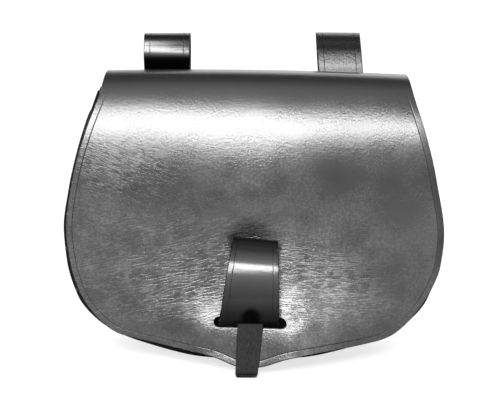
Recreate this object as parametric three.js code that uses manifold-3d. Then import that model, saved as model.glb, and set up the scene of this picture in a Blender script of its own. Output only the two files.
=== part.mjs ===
// A belt pouch of thick black leather that stands on its rounded bottom, with its flap strapped shut.
// Millimetres. X runs to the right, the front faces -Y, and Z is the height above the surface below it.
import * as THREE from 'three';
import Module from 'manifold-3d';

const wasm = await Module();
wasm.setup();

// Leather thicknesses, and the clearance between layers that are sewn together.
const COVER_THICK = 2.4;
const PANEL_THICK = 2.2;
const GUSSET_THICK = 1.8;
const STRAP_THICK = 2.2;
const LOOP_THICK = 2.2;
const SEAM_GAP = 0.3;

// The cover: an upright back panel that bends over the ridge and comes down the front as the flap.
const BACK_Y = 27;
const RIDGE_HEIGHT = 197;
const RIDGE_RADIUS = 9;
const RIDGE_Y = BACK_Y - RIDGE_RADIUS;
const RIDGE_ARC = RIDGE_RADIUS * Math.PI / 2;
const COVER_COLUMNS = 14;
const BACK_ROW_HEIGHTS = [0, 1, 2.5, 5, 9, 14, 20, 28, 38, 52, 70, 92, 116, 140, 164, 180];
const RIDGE_ROWS = 5;

// The tilt of the flap's face from upright, in degrees, by the length down from the ridge.
const FLAP_TILT = [
  { down: 0, tilt: 90 },
  { down: 8, tilt: 60 },
  { down: 18, tilt: 37 },
  { down: 60, tilt: 18 },
  { down: 100, tilt: 7 },
  { down: 130, tilt: 4 },
  { down: 220, tilt: 3 },
];

// The flap as it was cut: half its width, and how far its middle lies to the right.
const FLAP_CUT = [
  { down: 0, half: 103.4, middle: 1.6 },
  { down: 20, half: 106, middle: 1.4 },
  { down: 50, half: 114.5, middle: 1.2 },
  { down: 83, half: 123.2, middle: 1.2 },
  { down: 122, half: 129.4, middle: 1.6 },
  { down: 144, half: 127.5, middle: 1.6 },
  { down: 155, half: 124.2, middle: 1.2 },
  { down: 167, half: 118.6, middle: 0.6 },
  { down: 178, half: 110.6, middle: 0.3 },
  { down: 189, half: 97, middle: 0.3 },
  { down: 195, half: 85.5, middle: 0.3 },
  { down: 199, half: 72, middle: 0 },
  { down: 201.4, half: 60, middle: -0.3 },
  { down: 203.6, half: 42, middle: -1 },
  { down: 206, half: 22.5, middle: -2 },
  { down: 208.2, half: 9, middle: -2.4 },
  { down: 209.6, half: 0.8, middle: -2.4 },
];
const FLAP_TOP_ROWS = [0, 4, 8, 13, 18, 24];
const FLAP_SIDE_STEP = 12;
const FLAP_TURN = 166;
const FLAP_POINT_STEP = 4;
const FLAP_LINE_STEP = 0.5;

// The flap's sides lie further back than its middle, and its point kicks out over the closing strap.
const FLAP_SIDE_BACK = 7;
const FLAP_SIDE_FROM = 40;
const FLAP_SIDE_FULL = 150;
const FLAP_KICK = 12;
const FLAP_KICK_FROM = 135;
const FLAP_KICK_FULL = 220;
const FLAP_KICK_SPREAD = 42;

// The slot in the flap for the closing strap.
const SLOT_X = -2.7;
const SLOT_DOWN = 180.5;
const SLOT_LENGTH = 50;
const SLOT_WIDTH = 8.6;
const SLOT_CUT_DEPTH = 16;
const SLOT_END_SIDES = 6;

// Half the width of the body by height: flat where it stands, round below, and narrower at its mouth.
const BODY_CUT = [
  { height: 0, half: 25 },
  { height: 1.3, half: 39 },
  { height: 4.4, half: 54 },
  { height: 9.2, half: 71 },
  { height: 15, half: 88 },
  { height: 26.7, half: 107.5 },
  { height: 44.5, half: 121.5 },
  { height: 70, half: 128.8 },
  { height: 92, half: 130.4 },
  { height: 118, half: 126.8 },
  { height: 150, half: 119.4 },
  { height: 184, half: 107 },
];
const BODY_HALF = 130;
const OUTLINE_STEPS = 40;

// The front panel lies behind the flap, bowed like it, with its foot tucked in.
const PANEL_TOP = 178;
const PANEL_BEHIND_FLAP = 6.2;
const PANEL_SIDE_BACK = 4.5;
const PANEL_TUCK = 4;
const PANEL_TUCK_HEIGHT = 40;
const PANEL_COLUMNS = 10;
const PANEL_ROW_HEIGHTS = [
  0, 1, 2.5, 5, 9, 14, 20, 28, 38, 52, 70, 88, 104, 118, 130, 141, 151, 160, 169, PANEL_TOP,
];

// The gusset: a strip round the body, with a flange sewn to each panel and a fold along its middle.
const GUSSET_TOP = 184;
const GUSSET_STATIONS = 52;
const FLANGE_SHORT = 0.5;
const WEB_INSET = 6;
const WEB_FOLD = 3;
const FLANGE_BEND = 1.5;

// The closing strap. Its route is measured from the slot's middle on the flap's face.
const STRAP_LEAN = 4.3;
const STRAP_LEAN_FULL = 50;
const STRAP_STEPS = 2;
const SLIT_HALF = 10.2;
const STRAP_ROUTE = [
  { at: 'root', forward: -14, up: 45, half: 21 },
  { at: 'root', forward: -12.9, up: 27, half: 21 },
  { at: 'root', forward: -11.6, up: 15, half: 21 },
  { at: 'behind the slot', forward: -9.8, up: 6, half: 20.8 },
  { at: 'in the slot', forward: -5.2, up: 1.3, half: 20.6 },
  { at: 'in the slot', forward: 0.2, up: 0.3, half: 20.5 },
  { at: 'before the slot', forward: 3.4, up: 0.4, half: 20.5 },
  { at: 'slit start', forward: 6.7, up: 1.2, half: 20.4 },
  { at: 'slit end', forward: 9.8, up: 3.8, half: 20.3 },
  { at: 'front', forward: 12.1, up: 7.4, half: 20.1 },
  { at: 'front', forward: 12.9, up: 15, half: 19.5 },
  { at: 'front', forward: 12.1, up: 24, half: 18.8 },
  { at: 'front', forward: 9.7, up: 33.5, half: 18 },
  { at: 'front', forward: 6.1, up: 42.5, half: 17.1 },
  { at: 'front', forward: 1.5, up: 50, half: 16.2 },
  { at: 'fold', forward: -2.3, up: 54.6, half: 15.7 },
  { at: 'fold', forward: -4.7, up: 56.9, half: 15.4 },
  { at: 'fold', forward: -6.7, up: 57.6, half: 15.2 },
  { at: 'fold', forward: -8.3, up: 56, half: 15 },
  { at: 'behind itself', forward: -8.6, up: 52, half: 14.5 },
  { at: 'behind itself', forward: -7.5, up: 43, half: 13.5 },
  { at: 'behind itself', forward: -5.7, up: 31, half: 12.2 },
  { at: 'behind itself', forward: -3.8, up: 21, half: 11 },
  { at: 'behind itself', forward: -0.7, up: 14, half: 10.2 },
  { at: 'behind itself', forward: 3.3, up: 8.6, half: 9.7 },
  { at: 'through the slit', forward: 8.3, up: 2, half: 9.2 },
  { at: 'tongue', forward: 11.9, up: -6.4, half: 8.9 },
  { at: 'tongue', forward: 15.1, up: -15.5, half: 8.4 },
  { at: 'tongue', forward: 18.3, up: -23.4, half: 7.8 },
  { at: 'tongue', forward: 21.5, up: -28.1, half: 7.3 },
  { at: 'tongue', forward: 23.7, up: -29.2, half: 7 },
];

// The belt loops: their place and width, how much they lean sideways, how far they bulge over the ridge,
// and how far their tops recline backwards.
const LOOPS = [
  { name: 'belt_loop_left', x: -61.4, width: 32, lean: 0, bulge: 1.2, recline: 4 },
  { name: 'belt_loop_right', x: 60.9, width: 29.5, lean: -6.5, bulge: 0, recline: 11 },
];
const LOOP_FOOT = 150;
const LOOP_TOP = 220.5;
const LOOP_LEAN_HEIGHT = 195;
const LOOP_RECLINE_HEIGHT = 30;
const LOOP_TOP_FLAT = 5;
const LOOP_TOP_SHARES = [-0.5, -0.25, 0.25, 0.5];
// The loop's route: how far it stands behind the back panel's face, and its height below the loop's top.
const LOOP_FRONT = [
  { behind: 0.1, below: 50, bulging: 0 },
  { behind: 0.1, below: 34, bulging: 0 },
  { behind: -0.2, below: 28.5, bulging: 0.1 },
  { behind: -1, below: 21, bulging: 0.9 },
  { behind: -0.2, below: 14, bulging: 1 },
  { behind: 2.2, below: 7, bulging: 0.5 },
  { behind: 4.3, below: 2.2, bulging: 0 },
];
const LOOP_REAR = [
  { behind: 13.3, below: 2.3 },
  { behind: 15.4, below: 8 },
  { behind: 16, below: 18 },
  { behind: 13.6, below: 31 },
  { behind: 8.6, below: 44 },
  { behind: 4.2, below: 53 },
  { behind: 2.8, below: 58 },
];
const LOOP_STATIONS = 16;

// The whole pouch is shifted so that the frame's origin is under the middle of its box.
const ORIGIN_SHIFT_Y = 3.4;

const BLACK_LEATHER = { color: 0x17181a, roughness: 0.36, metalness: 0 };
const STRAP_LEATHER = { color: 0x141416, roughness: 0.28, metalness: 0 };

const DIFFERENCE = 0.05;
const { clamp, degToRad, lerp, smoothstep } = THREE.MathUtils;

// A smooth curve, without overshoot, through one column of a table by another column that grows.
function smoothColumn(rows, by, column) {
  const slope = (a, b) => (b[column] - a[column]) / (b[by] - a[by]);
  const slopes = rows.map((row, i) => {
    if (i === 0) return slope(row, rows[1]);
    if (i === rows.length - 1) return slope(rows[i - 1], row);
    const before = slope(rows[i - 1], row);
    const after = slope(row, rows[i + 1]);
    return before * after > 0 ? 2 * before * after / (before + after) : 0;
  });
  return (value) => {
    const last = rows.length - 2;
    let i = rows.findIndex((row) => row[by] > value) - 1;
    if (i < 0) i = value <= rows[0][by] ? 0 : last;
    const span = rows[i + 1][by] - rows[i][by];
    const t = clamp((value - rows[i][by]) / span, 0, 1);
    const rise = 3 * t * t - 2 * t * t * t;
    const bendIn = t * t * t - 2 * t * t + t;
    const bendOut = t * t * t - t * t;
    const level = lerp(rows[i][column], rows[i + 1][column], rise);
    return level + span * (bendIn * slopes[i] + bendOut * slopes[i + 1]);
  };
}

const flapTilt = smoothColumn(FLAP_TILT, 'down', 'tilt');
const flapHalf = smoothColumn(FLAP_CUT, 'down', 'half');
const flapMiddle = smoothColumn(FLAP_CUT, 'down', 'middle');
const bodyHalf = smoothColumn(BODY_CUT, 'height', 'half');

// The middle line of the flap's face, followed down from the ridge in short steps.
function followFlap() {
  const step = FLAP_LINE_STEP;
  const line = [{ down: 0, y: RIDGE_Y, z: RIDGE_HEIGHT }];
  const length = FLAP_TILT.at(-1).down;
  for (let down = step; down <= length; down += step) {
    const tilt = degToRad(flapTilt(down - step / 2));
    const { y, z } = line.at(-1);
    line.push({ down, y: y - step * Math.sin(tilt), z: z - step * Math.cos(tilt) });
  }
  return line;
}
const flapLine = followFlap();

function flapLineAt(down) {
  const i = clamp(Math.floor(down / FLAP_LINE_STEP), 0, flapLine.length - 2);
  const a = flapLine[i];
  const b = flapLine[i + 1];
  const t = (down - a.down) / FLAP_LINE_STEP;
  return { y: lerp(a.y, b.y, t), z: lerp(a.z, b.z, t) };
}

function flapDownAt(height) {
  const i = Math.max(1, flapLine.findIndex((point) => point.z < height));
  const a = flapLine[i - 1];
  const b = flapLine[i];
  return lerp(a.down, b.down, (a.z - height) / (a.z - b.z));
}

// A point on the cover's outer face: x across, and the length from the ridge, down the flap if positive.
function coverPoint(x, along) {
  if (along < -RIDGE_ARC) {
    return new THREE.Vector3(x, BACK_Y, RIDGE_HEIGHT - RIDGE_RADIUS + RIDGE_ARC + along);
  }
  if (along < 0) {
    const turn = -along / RIDGE_RADIUS;
    const y = RIDGE_Y + RIDGE_RADIUS * Math.sin(turn);
    return new THREE.Vector3(x, y, RIDGE_HEIGHT - RIDGE_RADIUS * (1 - Math.cos(turn)));
  }
  const { y, z } = flapLineAt(along);
  const sideways = smoothstep(along, FLAP_SIDE_FROM, FLAP_SIDE_FULL) * (x / BODY_HALF) ** 2;
  const spread = Math.exp(-(((x - SLOT_X) / FLAP_KICK_SPREAD) ** 2));
  const kick = smoothstep(along, FLAP_KICK_FROM, FLAP_KICK_FULL) * spread;
  return new THREE.Vector3(x, y + FLAP_SIDE_BACK * sideways - FLAP_KICK * kick, z);
}

function coverNormal(x, along) {
  const across = coverPoint(x + DIFFERENCE, along).sub(coverPoint(x - DIFFERENCE, along));
  const downward = coverPoint(x, along + DIFFERENCE).sub(coverPoint(x, along - DIFFERENCE));
  return downward.cross(across).normalize();
}

function backAlong(height) {
  return height - RIDGE_HEIGHT + RIDGE_RADIUS - RIDGE_ARC;
}

// Half the cover's width and its middle, on the back as the body is cut and on the flap as the flap is.
function coverCut(along) {
  if (along >= 0) return { half: flapHalf(along), middle: flapMiddle(along) };
  const height = coverPoint(0, along).z;
  const towardsRidge = smoothstep(along, backAlong(GUSSET_TOP), 0);
  const half = lerp(bodyHalf(height), FLAP_CUT[0].half, towardsRidge);
  return { half, middle: FLAP_CUT[0].middle * towardsRidge };
}

// A closed sheet from its outer and inner faces, each a grid of points, without the cells that are cut out.
function sheetGeometry(outer, inner, isCut = () => false) {
  const columns = outer[0].length;
  const outerCount = outer.length * columns;
  const points = [...outer.flat(), ...inner.flat()];
  const triangles = [];
  const edges = new Map();
  for (let row = 0; row + 1 < outer.length; row += 1) {
    for (let column = 0; column + 1 < columns; column += 1) {
      if (isCut(row, column)) continue;
      const a = row * columns + column;
      const corners = [a, a + columns, a + columns + 1, a + 1];
      const [p, q, r, s] = corners;
      triangles.push(p, q, r, p, r, s);
      triangles.push(...[p, r, q, p, s, r].map((corner) => corner + outerCount));
      corners.forEach((from, i) => {
        const to = corners[(i + 1) % 4];
        if (!edges.delete(`${to} ${from}`)) edges.set(`${from} ${to}`, [from, to]);
      });
    }
  }
  for (const [from, to] of edges.values()) {
    triangles.push(to, from, from + outerCount);
    triangles.push(to, from + outerCount, to + outerCount);
  }
  return closedGeometry(points, triangles);
}

function closedGeometry(points, triangles) {
  const geometry = new THREE.BufferGeometry().setFromPoints(points);
  geometry.setIndex(triangles);
  return geometry;
}

// The two ends of a prism whose outline is the first ring of points, and whose last ring starts at an index.
function endTriangles(outline, lastRing) {
  const { area, triangulateShape } = THREE.ShapeUtils;
  const winding = Math.sign(area(outline));
  return triangulateShape(outline, []).flatMap((corners) => {
    const facing = Math.sign(area(corners.map((corner) => outline[corner])));
    const [a, b, c] = facing === winding ? corners : corners.toReversed();
    return [c, b, a, a + lastRing, b + lastRing, c + lastRing];
  });
}

function solidOf(geometry) {
  const vertProperties = new Float32Array(geometry.getAttribute('position').array);
  const triVerts = new Uint32Array(geometry.getIndex().array);
  return new wasm.Manifold(new wasm.Mesh({ numProp: 3, vertProperties, triVerts }));
}

function geometryOf(solid) {
  const mesh = solid.getMesh();
  const geometry = new THREE.BufferGeometry();
  geometry.setAttribute('position', new THREE.BufferAttribute(mesh.vertProperties, 3));
  geometry.setIndex(new THREE.BufferAttribute(mesh.triVerts, 1));
  return geometry;
}

function leatherMesh(name, geometry, finish) {
  geometry.computeVertexNormals();
  const mesh = new THREE.Mesh(geometry, new THREE.MeshStandardMaterial(finish));
  mesh.name = name;
  return mesh;
}

// The lengths along the cover at which its grid has a row, from the foot of the back to the flap's point.
function coverRows() {
  const rows = BACK_ROW_HEIGHTS.map(backAlong);
  for (let i = 0; i < RIDGE_ROWS; i += 1) rows.push(-RIDGE_ARC * (1 - i / RIDGE_ROWS));
  rows.push(...FLAP_TOP_ROWS);
  while (rows.at(-1) + FLAP_SIDE_STEP < FLAP_TURN) rows.push(rows.at(-1) + FLAP_SIDE_STEP);
  const lower = FLAP_CUT.map((row) => row.down).filter((down) => down > FLAP_TURN);
  lower.forEach((down, i) => {
    rows.push(down);
    const next = lower[i + 1];
    if (next - down > FLAP_POINT_STEP) rows.push((down + next) / 2);
  });
  return rows;
}

// A stadium-shaped cutter that stands square to the flap's face at the slot.
function slotCutter() {
  const round = SLOT_WIDTH / 2;
  const straight = SLOT_LENGTH / 2 - round;
  const shape = new THREE.Shape();
  shape.absarc(straight, 0, round, -Math.PI / 2, Math.PI / 2, false);
  shape.absarc(-straight, 0, round, Math.PI / 2, Math.PI * 1.5, false);
  const outline = shape.getPoints(SLOT_END_SIDES).slice(0, -1);
  const layers = [-SLOT_CUT_DEPTH / 2, SLOT_CUT_DEPTH / 2];
  const points = layers.flatMap((depth) => outline.map((p) => new THREE.Vector3(p.x, p.y, depth)));
  const count = outline.length;
  const triangles = endTriangles(outline, count);
  outline.forEach((point, i) => {
    const next = (i + 1) % count;
    triangles.push(i, next, next + count, i, next + count, i + count);
  });
  const geometry = closedGeometry(points, triangles);
  const normal = coverNormal(SLOT_X, SLOT_DOWN);
  const across = new THREE.Vector3(1, 0, 0);
  const upward = normal.clone().cross(across).normalize();
  const place = new THREE.Matrix4().makeBasis(upward.clone().cross(normal), upward, normal);
  return geometry.applyMatrix4(place.setPosition(coverPoint(SLOT_X, SLOT_DOWN)));
}

function coverMesh() {
  const faces = [0, COVER_THICK].map((depth) => coverRows().map((along) => {
    const { half, middle } = coverCut(along);
    return Array.from({ length: COVER_COLUMNS + 1 }, (_, column) => {
      const x = middle + half * (2 * column / COVER_COLUMNS - 1);
      return coverPoint(x, along).addScaledVector(coverNormal(x, along), -depth);
    });
  }));
  const uncut = solidOf(sheetGeometry(...faces));
  return leatherMesh('back_and_flap', geometryOf(uncut.subtract(solidOf(slotCutter()))), BLACK_LEATHER);
}

function panelY(x, height) {
  const down = flapDownAt(height);
  const sideways = smoothstep(down, FLAP_SIDE_FROM, FLAP_SIDE_FULL) * (x / BODY_HALF) ** 2;
  const tuck = PANEL_TUCK * (1 - smoothstep(height, 0, PANEL_TUCK_HEIGHT));
  return flapLineAt(down).y + PANEL_BEHIND_FLAP + PANEL_SIDE_BACK * sideways + tuck;
}

// A point at a depth behind the front panel's outer face, measured square to the panel's slope.
function behindPanel(x, height, depth) {
  const rise = panelY(x, height + DIFFERENCE) - panelY(x, height - DIFFERENCE);
  const slope = rise / (2 * DIFFERENCE);
  return new THREE.Vector3(x, panelY(x, height) + depth * Math.hypot(1, slope), height);
}

function frontPanelMesh() {
  const faces = [PANEL_THICK, 0].map((depth) => PANEL_ROW_HEIGHTS.map((height) => {
    const half = bodyHalf(height);
    return Array.from({ length: PANEL_COLUMNS + 1 }, (_, column) => {
      return behindPanel(half * (2 * column / PANEL_COLUMNS - 1), height, depth);
    });
  }));
  return leatherMesh('front_panel', sheetGeometry(...faces), BLACK_LEATHER);
}

// The body's outline from the top on the right, round the bottom, to the top on the left.
function bodyOutline() {
  const heights = [];
  for (let i = 0; i <= OUTLINE_STEPS; i += 1) heights.push(GUSSET_TOP * (1 - i / OUTLINE_STEPS) ** 2);
  const right = heights.map((height) => new THREE.Vector2(bodyHalf(height), height));
  const left = right.map(({ x, y }) => new THREE.Vector2(-x, y)).reverse();
  return new THREE.SplineCurve([...right, ...left]);
}

// The gusset's section: how far each corner lies inside the outline, and its depth from one of the panels.
function gussetSection() {
  const skin = WEB_INSET + GUSSET_THICK;
  const half = [
    { inset: FLANGE_SHORT, depth: 0 },
    { inset: skin - FLANGE_BEND, depth: 0 },
    { inset: skin, depth: FLANGE_BEND },
  ];
  const outerHalf = [
    { inset: WEB_INSET, depth: GUSSET_THICK + FLANGE_BEND / 2 },
    { inset: WEB_INSET - FLANGE_BEND / 2, depth: GUSSET_THICK },
    { inset: FLANGE_SHORT, depth: GUSSET_THICK },
  ];
  const on = (panel) => (corner) => ({ ...corner, panel });
  return [
    ...half.map(on('front')),
    { inset: skin + WEB_FOLD, panel: 'middle' },
    ...half.map(on('back')).reverse(),
    ...outerHalf.map(on('back')).reverse(),
    { inset: WEB_INSET + WEB_FOLD, panel: 'middle' },
    ...outerHalf.map(on('front')),
  ];
}

function gussetPoint(place, inward, { inset, depth = 0, panel }) {
  const x = place.x + inward.x * inset;
  const height = place.y + inward.y * inset;
  const front = behindPanel(x, height, PANEL_THICK + SEAM_GAP + depth).y;
  const back = BACK_Y - COVER_THICK - SEAM_GAP - depth;
  const y = { front, back, middle: (front + back) / 2 }[panel];
  return new THREE.Vector3(x, y, height);
}

function gussetMesh() {
  const outline = bodyOutline();
  const section = gussetSection();
  const count = section.length;
  const points = [];
  for (let station = 0; station <= GUSSET_STATIONS; station += 1) {
    const t = station / GUSSET_STATIONS;
    const tangent = outline.getTangentAt(t);
    const inward = new THREE.Vector2(tangent.y, -tangent.x);
    section.forEach((corner) => points.push(gussetPoint(outline.getPointAt(t), inward, corner)));
  }
  const cap = points.slice(0, count).map(({ x, y }) => new THREE.Vector2(x, y));
  const triangles = endTriangles(cap, GUSSET_STATIONS * count);
  for (let station = 0; station < GUSSET_STATIONS; station += 1) {
    for (let corner = 0; corner < count; corner += 1) {
      const a = station * count + corner;
      const b = station * count + (corner + 1) % count;
      triangles.push(a, b, b + count, a, b + count, a + count);
    }
  }
  return leatherMesh('gusset', closedGeometry(points, triangles), BLACK_LEATHER);
}

// A band of leather along a line in the YZ plane. Columns are shares of half its width, from -1 to 1.
function bandFaces(line, halfWidths, columns, thickness) {
  const normals = line.map((point, i) => {
    const before = line[Math.max(i - 1, 0)];
    const after = line[Math.min(i + 1, line.length - 1)];
    const tangent = after.clone().sub(before).normalize();
    return new THREE.Vector3(0, -tangent.z, tangent.y);
  });
  return [-0.5, 0.5].map((side) => line.map((point, i) => columns.map((share) => {
    const placed = point.clone().addScaledVector(normals[i], side * thickness);
    return placed.setX(share * halfWidths[i]);
  })));
}

// The strap leans to the right as it rises. Its foot is level, and its fold is square to the lean.
function leanStrap(point) {
  const slope = Math.tan(degToRad(STRAP_LEAN));
  const drop = point.x * slope * smoothstep(point.z, 0, STRAP_LEAN_FULL);
  point.set(point.x + point.z * slope, point.y, point.z - drop);
}

function closingStrapMesh() {
  const route = STRAP_ROUTE.map(({ forward, up }) => new THREE.Vector3(0, -forward, up));
  const curve = new THREE.CatmullRomCurve3(route);
  const steps = (STRAP_ROUTE.length - 1) * STRAP_STEPS;
  const line = curve.getPoints(steps);
  const halfWidths = line.map((_, i) => {
    const row = Math.min(Math.floor(i / STRAP_STEPS), STRAP_ROUTE.length - 2);
    return lerp(STRAP_ROUTE[row].half, STRAP_ROUTE[row + 1].half, i / STRAP_STEPS - row);
  });
  const slitRow = STRAP_ROUTE.findIndex((row) => row.at === 'slit start');
  const slitShare = SLIT_HALF / STRAP_ROUTE[slitRow].half;
  const faces = bandFaces(line, halfWidths, [-1, -slitShare, slitShare, 1], STRAP_THICK);
  const inSlit = (row, column) => column === 1 && Math.floor(row / STRAP_STEPS) === slitRow;
  faces.flat(2).forEach(leanStrap);
  const mesh = leatherMesh('closing_strap', sheetGeometry(...faces, inSlit), STRAP_LEATHER);
  mesh.position.copy(coverPoint(SLOT_X, SLOT_DOWN));
  return mesh;
}

function beltLoopMesh({ name, x, width, lean, bulge, recline }) {
  const face = BACK_Y + SEAM_GAP + LOOP_THICK / 2;
  const top = LOOP_TOP - LOOP_THICK / 2;
  const place = ({ behind, below, bulging = 0 }) => {
    return new THREE.Vector3(0, face + behind - bulge * bulging, top - below);
  };
  const flatMiddle = (LOOP_FRONT.at(-1).behind + LOOP_REAR[0].behind) / 2;
  const flat = LOOP_TOP_SHARES.map((share) => {
    return place({ behind: flatMiddle + share * LOOP_TOP_FLAT, below: 0 });
  });
  const foot = (row) => place({ ...row, below: top - LOOP_FOOT });
  const front = [foot(LOOP_FRONT[0]), ...LOOP_FRONT.map(place), flat[0]];
  const rear = [flat.at(-1), ...LOOP_REAR.map(place), foot(LOOP_REAR.at(-1))];
  const smooth = (points) => new THREE.CatmullRomCurve3(points).getPoints(LOOP_STATIONS);
  const line = [...smooth(front), ...flat.slice(1, -1), ...smooth(rear)];
  const faces = bandFaces(line, line.map(() => width / 2), [-1, 1], LOOP_THICK);
  const slope = Math.tan(degToRad(lean));
  faces.flat(2).forEach((point) => {
    point.x += (point.z - LOOP_LEAN_HEIGHT) * slope;
    point.y += recline * Math.max(0, 1 - (top - point.z) / LOOP_RECLINE_HEIGHT);
  });
  const mesh = leatherMesh(name, sheetGeometry(...faces), STRAP_LEATHER);
  mesh.position.x = x;
  return mesh;
}

const pouch = new THREE.Group();
pouch.name = 'belt_pouch';
pouch.add(coverMesh(), frontPanelMesh(), gussetMesh(), closingStrapMesh());
LOOPS.forEach((loop) => pouch.add(beltLoopMesh(loop)));
pouch.position.y = ORIGIN_SHIFT_Y;

export default pouch;
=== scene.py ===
"""A glossy black leather belt pouch, standing on a pale studio floor with its flap strapped shut.

The pattern's sizes are in millimetres, as they are cut, and each mesh is made in metres in the CAD frame.
"""
import math

import bmesh
import bpy
import numpy as np
from mathutils import Euler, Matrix, Vector, geometry, kdtree, noise


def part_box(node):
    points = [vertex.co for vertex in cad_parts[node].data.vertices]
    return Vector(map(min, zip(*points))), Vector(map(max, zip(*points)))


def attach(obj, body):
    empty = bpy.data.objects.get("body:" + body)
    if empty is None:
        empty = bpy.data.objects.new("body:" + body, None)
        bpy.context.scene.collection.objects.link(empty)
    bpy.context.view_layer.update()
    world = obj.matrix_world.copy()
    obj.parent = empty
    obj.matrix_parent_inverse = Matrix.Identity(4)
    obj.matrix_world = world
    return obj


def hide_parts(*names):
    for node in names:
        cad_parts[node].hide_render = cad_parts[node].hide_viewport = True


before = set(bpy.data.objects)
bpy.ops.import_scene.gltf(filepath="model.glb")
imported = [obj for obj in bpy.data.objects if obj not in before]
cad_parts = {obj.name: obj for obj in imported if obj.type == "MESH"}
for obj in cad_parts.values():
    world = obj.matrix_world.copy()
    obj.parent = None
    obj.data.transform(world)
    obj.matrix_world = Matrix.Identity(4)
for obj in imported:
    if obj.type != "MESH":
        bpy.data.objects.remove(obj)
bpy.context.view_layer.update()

MM = 0.001

# Leather thicknesses, and the clearance between layers that are sewn together.
COVER_THICK = 2.4
PANEL_THICK = 2.2
GUSSET_THICK = 1.8
STRAP_THICK = 2.2
LOOP_THICK = 2.2
SEAM_GAP = 0.3

# The cover: an upright back that bends over the ridge and comes down the front as the flap.
BACK_Y = 27
RIDGE_HEIGHT = 197
RIDGE_RADIUS = 9
RIDGE_Y = BACK_Y - RIDGE_RADIUS
RIDGE_ARC = RIDGE_RADIUS * math.pi / 2
BODY_HALF = 130
GUSSET_TOP = 184
SHOULDER_FROM, SHOULDER_TO = 174, 183
PANEL_TOP = 178

# The pattern is laid out from the back panel's face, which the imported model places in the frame.
SHIFT_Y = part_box("back_and_flap")[1].y / MM - BACK_Y

# Columns: length down from the ridge, tilt of the flap's face from upright in degrees.
FLAP_TILT = (
    (0, 90),
    (8, 60),
    (18, 37),
    (60, 18),
    (100, 7),
    (130, 4),
    (220, 3),
)

# Columns: length down from the ridge, half the flap's width, how far its middle lies to the right.
FLAP_CUT = (
    (0, 103.4, 1.6),
    (20, 106.9, 1.8),
    (50, 115.5, 1.1),
    (83, 123.8, 0.6),
    (122, 129.7, 1.3),
    (144, 127.5, 1.6),
    (155, 124.2, 1.2),
    (167, 118.6, 0.6),
    (178, 110.6, 0.3),
    (189.4, 97.5, 0.3),
    (193, 88, 0.3),
    (195, 74.5, -1),
    (196.6, 59.5, -2.8),
    (198.3, 44.8, -4),
    (200.2, 31.4, -2.6),
    (202.4, 21.8, -2),
    (205, 14.9, -2),
    (207.4, 8.8, -2.2),
    (208.8, 0.8, -2.4),
)
RIDGE_HALF, RIDGE_MIDDLE = FLAP_CUT[0][1:]

# Columns: height, half the body's width.
BODY_CUT = (
    (0, 25),
    (1.3, 39),
    (4.4, 54),
    (9.2, 71),
    (15, 88),
    (26.7, 107.5),
    (44.5, 121.5),
    (70, 128.8),
    (92, 130.4),
    (118, 126.8),
    (150, 119.4),
    (184, 108.4),
)

# The flap's sides lie further back than its middle, and its point kicks out over the closing strap.
FLAP_SIDE_BACK = 7
FLAP_SIDE_FROM = 40
FLAP_SIDE_FULL = 150
FLAP_KICK = 15
FLAP_KICK_FROM = 135
FLAP_KICK_FULL = 240
FLAP_KICK_SPREAD = 42

# The closing strap comes out of the flap here, through a slot that is cut close round it.
SLOT_X = -2.7
SLOT_DOWN = 180.5
SLOT_MIDDLE = (-1.9, 179.2)
SLOT_LENGTH = 46.2
SLOT_WIDTH = 6.6

# How the worn flap departs from its plain form: it is pushed out beside the slot and dented by the strap's
# bend, it is slack all over, its ridge sags towards its ends, and its rim turns up beside the point.
# Columns: height, middle and spread of each swell, across and down the flap. Below its middle a swell keeps
# its height.
FLAP_SWELLS = (
    (2.5, (SLOT_X - 29, 186), (15, 17)),
    (3, (SLOT_X + 29, 186), (16, 17)),
    (6.5, (-46, 206), (34, 46)),
    (17, (40, 208), (50, 50)),
)
DENT_DEPTH = 6.2
DENT_MIDDLE = (SLOT_X + 2, 122)
DENT_SPREAD = (24, 15)
WAVE_LENGTH = 55
WAVE_HEIGHT = 0.5
WAVES_FROM, WAVES_FULL = 10, 60
RIDGE_RISE = 0.85
RIDGE_SAG = 1.7
RIDGE_SAG_TURN = 0.55
RIDGE_SAG_FULL, RIDGE_SAG_TO = 15, 70
RIM_LIFT = 0.8
RIM_LIFT_FROM, RIM_LIFT_FULL = 194, 204

# The front panel lies behind the flap, bowed like it, with its foot tucked in.
PANEL_BEHIND_FLAP = 6.2
PANEL_SIDE_BACK = 4.5
PANEL_TUCK = 4
PANEL_TUCK_HEIGHT = 40
PANEL_CORNER = 10

# The gusset's section: a flange sewn to each panel, short of the panel's edge, and a fold along its middle.
FLANGE_SHORT = 0.5
FLANGE_BEVEL = 0.3
FLANGE_BEND = 1.5
FLANGE_BEND_SHARE = 0.3
WEB_INSET = 6
WEB_FOLD = 3
# Columns: share of the way from the front to the back, share of the fold's height.
WEB_FOLD_FORM = (
    (0.4, 0.9),
    (0.5, 1),
    (0.6, 0.9),
)
GUSSET_STATIONS = 150
GUSSET_PATTERN_STEP = 3

# The closing strap leans to the right as it rises, its right edge comes forward above a height, its tongue
# moves aside between two lengths, and a slit between two points of its route lets the tongue through.
STRAP_LEAN = math.radians(4.3)
STRAP_LEAN_FULL = 50
STRAP_TWIST = 0.0012
STRAP_TWIST_FROM = 20
TONGUE_ASIDE = 1.3
TONGUE_TURNS = (130, 170)
SLIT_HALF = 10.2
SLIT_FROM, SLIT_TO = 7, 8
STRAP_STEPS = 12
STRAP_SPACING = 1.3
STRAP_CORNER = 2.5

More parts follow.
